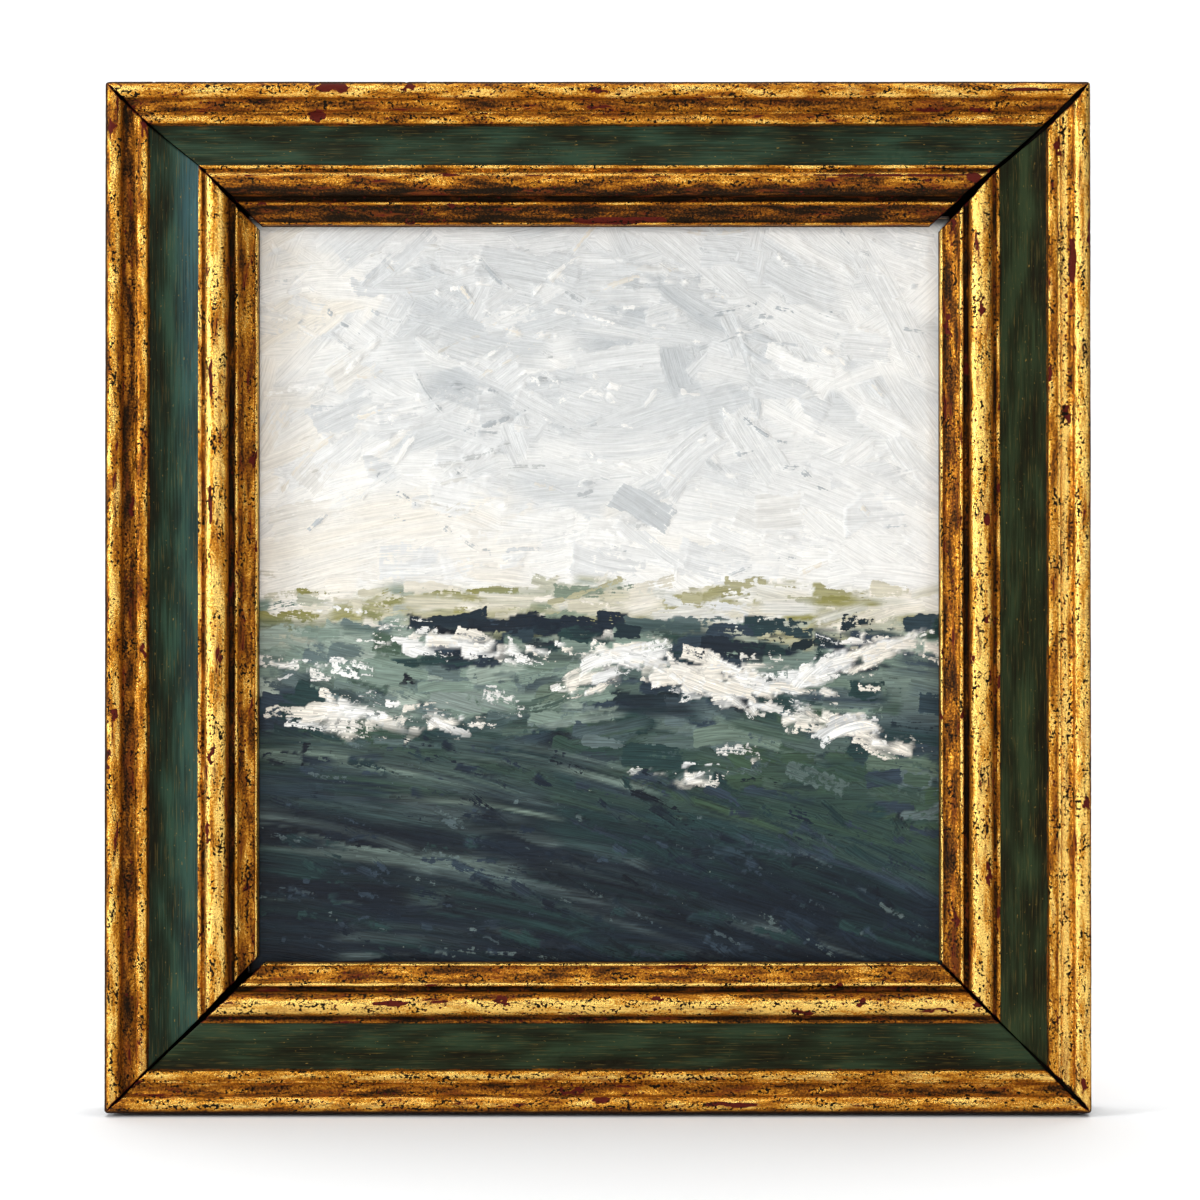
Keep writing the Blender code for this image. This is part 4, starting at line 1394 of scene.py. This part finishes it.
def make_painting():
    """The board with its paint: the front grid, an edge ring and the back."""
    edge = np.minimum.reduce([
        paint_x + LIP_COVER, PANEL_WIDTH - LIP_COVER - paint_x,
        paint_y + LIP_COVER, PANEL_HEIGHT - LIP_COVER - paint_y,
    ])
    free = eased(edge, 1.1, LIP_COVER + 1.2)
    # The board is darkened towards a dark brown near its edges, under the lip
    margin_clear = (0.25 + 0.75 * eased(edge, 0.2, LIP_COVER + 0.6))[..., None]
    tooth = 0.05 * layered_noise(paint_x / 1.9, paint_y / 1.9, 930)
    level = PAINT_LEVEL + 0.7 * eased(edge, 0, 2) + free * (canvas.height - 0.25 + tooth)
    front = np.stack([PANEL_LOW[0] + LIP_COVER + paint_x, -level, PANEL_HIGH[2] - LIP_COVER - paint_y], -1)
    count = rows * columns
    corners = np.array([[0, 0], [0, columns - 1], [rows - 1, columns - 1], [rows - 1, 0]])
    back_y, side_y = PANEL_HIGH[1], PANEL_HIGH[1] - BOARD_CHAMFER
    flat_corners = front[corners[:, 0], corners[:, 1]]
    side = flat_corners * (1, 0, 1) + (0, side_y, 0)
    inset = np.array([[1, 0, -1], [-1, 0, -1], [-1, 0, 1], [1, 0, 1]]) * BOARD_CHAMFER
    back = flat_corners * (1, 0, 1) + (0, back_y, 0) + inset
    points = np.concatenate([front.reshape(-1, 3), side, back])
    order = np.arange(count).reshape(rows, columns)
    rims = [order[0, :], order[:, -1], order[-1, ::-1], order[::-1, 0]]
    flats = []
    for number, rim in enumerate(rims):
        here, following = count + number, count + (number + 1) % 4
        flats.append(np.concatenate([rim, [following, here]])[None, :])
        flats.append(np.array([[here, following, following + 4, here + 4]]))
    flats.append(np.arange(count + 4, count + 8)[None, :])
    quads = grid_faces(rows, columns, closed=False)[:, ::-1]
    painting = mesh_of("painted_board", points, [quads], flats, {})
    margin_clear, margin_dark = at_corners(margin_clear), np.array(MARGIN_DARK)
    # How strongly the painted shade of the bristle lines shows: weak in the sky, strong in the sea
    bristle_shade = at_corners(0.35 + 0.85 * eased(paint_y, 0.8 * HORIZON, SEA_FRONT))
    sprayed = eased(paint_y - front_of_sea(paint_x), -20, 12) * (0.4 + 0.6 * paint_x / SIGHT_WIDTH)
    corner_values = {
        "top": margin_dark + (canvas.top - margin_dark) * margin_clear,
        "under": margin_dark + (canvas.under - margin_dark) * margin_clear,
        "paint": np.stack([canvas.cover, bristle_shade, at_corners(sprayed)], -1),
        "stroke": stroke_places(quads),
    }
    for name, values in corner_values.items():
        padded = np.zeros((len(painting.data.loops), 3), np.float32)
        padded[: quads.size] = values.reshape(-1, 3)
        layer = painting.data.attributes.new(name, "FLOAT_VECTOR", "CORNER")
        layer.data.foreach_set("vector", padded.ravel())
    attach(painting, "root")
    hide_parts("painted_panel")
    return painting


painting = make_painting()
paint_low, paint_high = float(canvas.height.min()), float(canvas.height.max())
print("paint stands", round(paint_low, 2), "to", round(paint_high, 2), "mm on the board")

# %% [markdown]
# ## Oil paint, and the board's bare back
#
# Bristles leave fine lines along a stroke, and a dry stroke breaks up along the same lines. Both come from
# one noise, drawn on each stroke's own place and stretched along it. Together with the tooth of the ground it
# decides where the lower colour shows through. It also paints a little shade into the colour, darker where
# the bristle lines and the tooth lie low, and raises the paint.

# %% Paint material
def oil_paint():
    """The paint film: two colours, parted along bristle lines and by the tooth where the cover is thin."""
    finish = Finish("oil_paint", specular=0.2)
    bristles = finish.grain(finish.attribute("stroke", "Vector"), (0.05, 1.4, 0), detail=2.0, rough=0.65)
    tooth = finish.grain(finish.place(), (420, 420, 420), rough=0.6)
    paint = finish.attribute("paint", "Vector")
    cover, bristle_shade, sprayed = (finish.add("SeparateXYZ", {0: paint}, axis) for axis in "XYZ")
    shown = finish.step(cover - (bristles * 0.9 + tooth * 1.7 - 0.8), -0.05, 0.05)
    colour = finish.mixed(shown, finish.attribute("under", "Vector"), finish.attribute("top", "Vector"))
    colour = finish.mixed(finish.step(tooth, 0.745, 0.765) * sprayed, colour, PALE_SAGE)
    # Painted shade of the relief: darker where the bristle lines and the tooth lie low, lighter where they
    # stand high
    shade = tooth * 0.16 + 0.92 + (bristles - 0.5) * bristle_shade * 1.5
    shades = finish.add("CombineColor", {0: shade, 1: shade, 2: shade})
    colour = finish.mixed(1.0, colour, shades, how="MULTIPLY")
    finish.fill(finish.shader, {"Base Color": colour, "Roughness": tooth * 0.45 + 0.2})
    finish.raised(bristles * 0.30 + tooth * 0.22, 0.9)
    return finish.material


def bare_board():
    """Brown pressed board: short fibres lying every way, a little darker in clouds."""
    finish = Finish("bare_board", 0.8)
    place = finish.place()
    fibres = finish.grain(place, (900, 900, 900), detail=4.0, rough=0.7, twist=2.0)
    value = fibres * 0.7 + finish.grain(place, (25, 25, 25)) * 0.3
    stops = [(0.35, srgb(86, 58, 36)), (0.5, srgb(122, 88, 58)), (0.65, srgb(146, 110, 76))]
    finish.fill(finish.shader, {"Base Color": finish.ramp(value, stops)})
    finish.raised(fibres * 0.1)
    return finish.material


painting.data.materials.append(oil_paint())
painting.data.materials.append(bare_board())

# %% [markdown]
# ## Pins, hanger and screws
#
# The fittings at the back are small and plain, so their solids are kept as they are and only get their
# finish: dull zinc on the pins and the hanger, drawn out by handling, and dull brass on the two screws.

# %% Metal finishes
def worn_metal(name, dark, pale, roughness):
    """A dull metal with cloudy tarnish and fine marks that lie every way."""
    finish = Finish(name, roughness, metallic=1.0)
    place = finish.place()
    clouds = finish.grain(place, (180, 180, 180), detail=4.0, twist=1.0)
    marks = finish.grain(place, (1500, 5000, 1500))
    colour = finish.ramp(clouds * 0.7 + marks * 0.3, [(0.38, dark), (0.6, pale)])
    finish.fill(finish.shader, {"Base Color": colour})
    finish.raised(marks * 0.02)
    return finish.material


zinc = worn_metal("dull_zinc", srgb(112, 112, 108), srgb(176, 176, 172), 0.42)
brass = worn_metal("dull_brass", srgb(120, 88, 40), srgb(198, 158, 84), 0.35)
fittings = [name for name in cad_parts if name.startswith(("brad_", "hanger_"))]
for name in fittings:
    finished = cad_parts[name].data
    finished.materials.clear()
    finished.materials.append(brass if "screw" in name else zinc)
print("fittings:", sorted(fittings))

# %% [markdown]
# ## Sizes
#
# Last, the box of the imported model and the box of what is seen are printed, so that the two can be
# compared: the dressed model stays inside the imported one.

# %% Print both boxes and finish
now_low, now_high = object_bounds()
boxes = {
    "cad": [list(cad_low), list(cad_high)],
    "visual": [list(now_low), list(now_high)],
}
for name, (low, high) in boxes.items():
    print(name, "spans", [round((b - a) / MM, 2) for a, b in zip(low, high)], "mm")
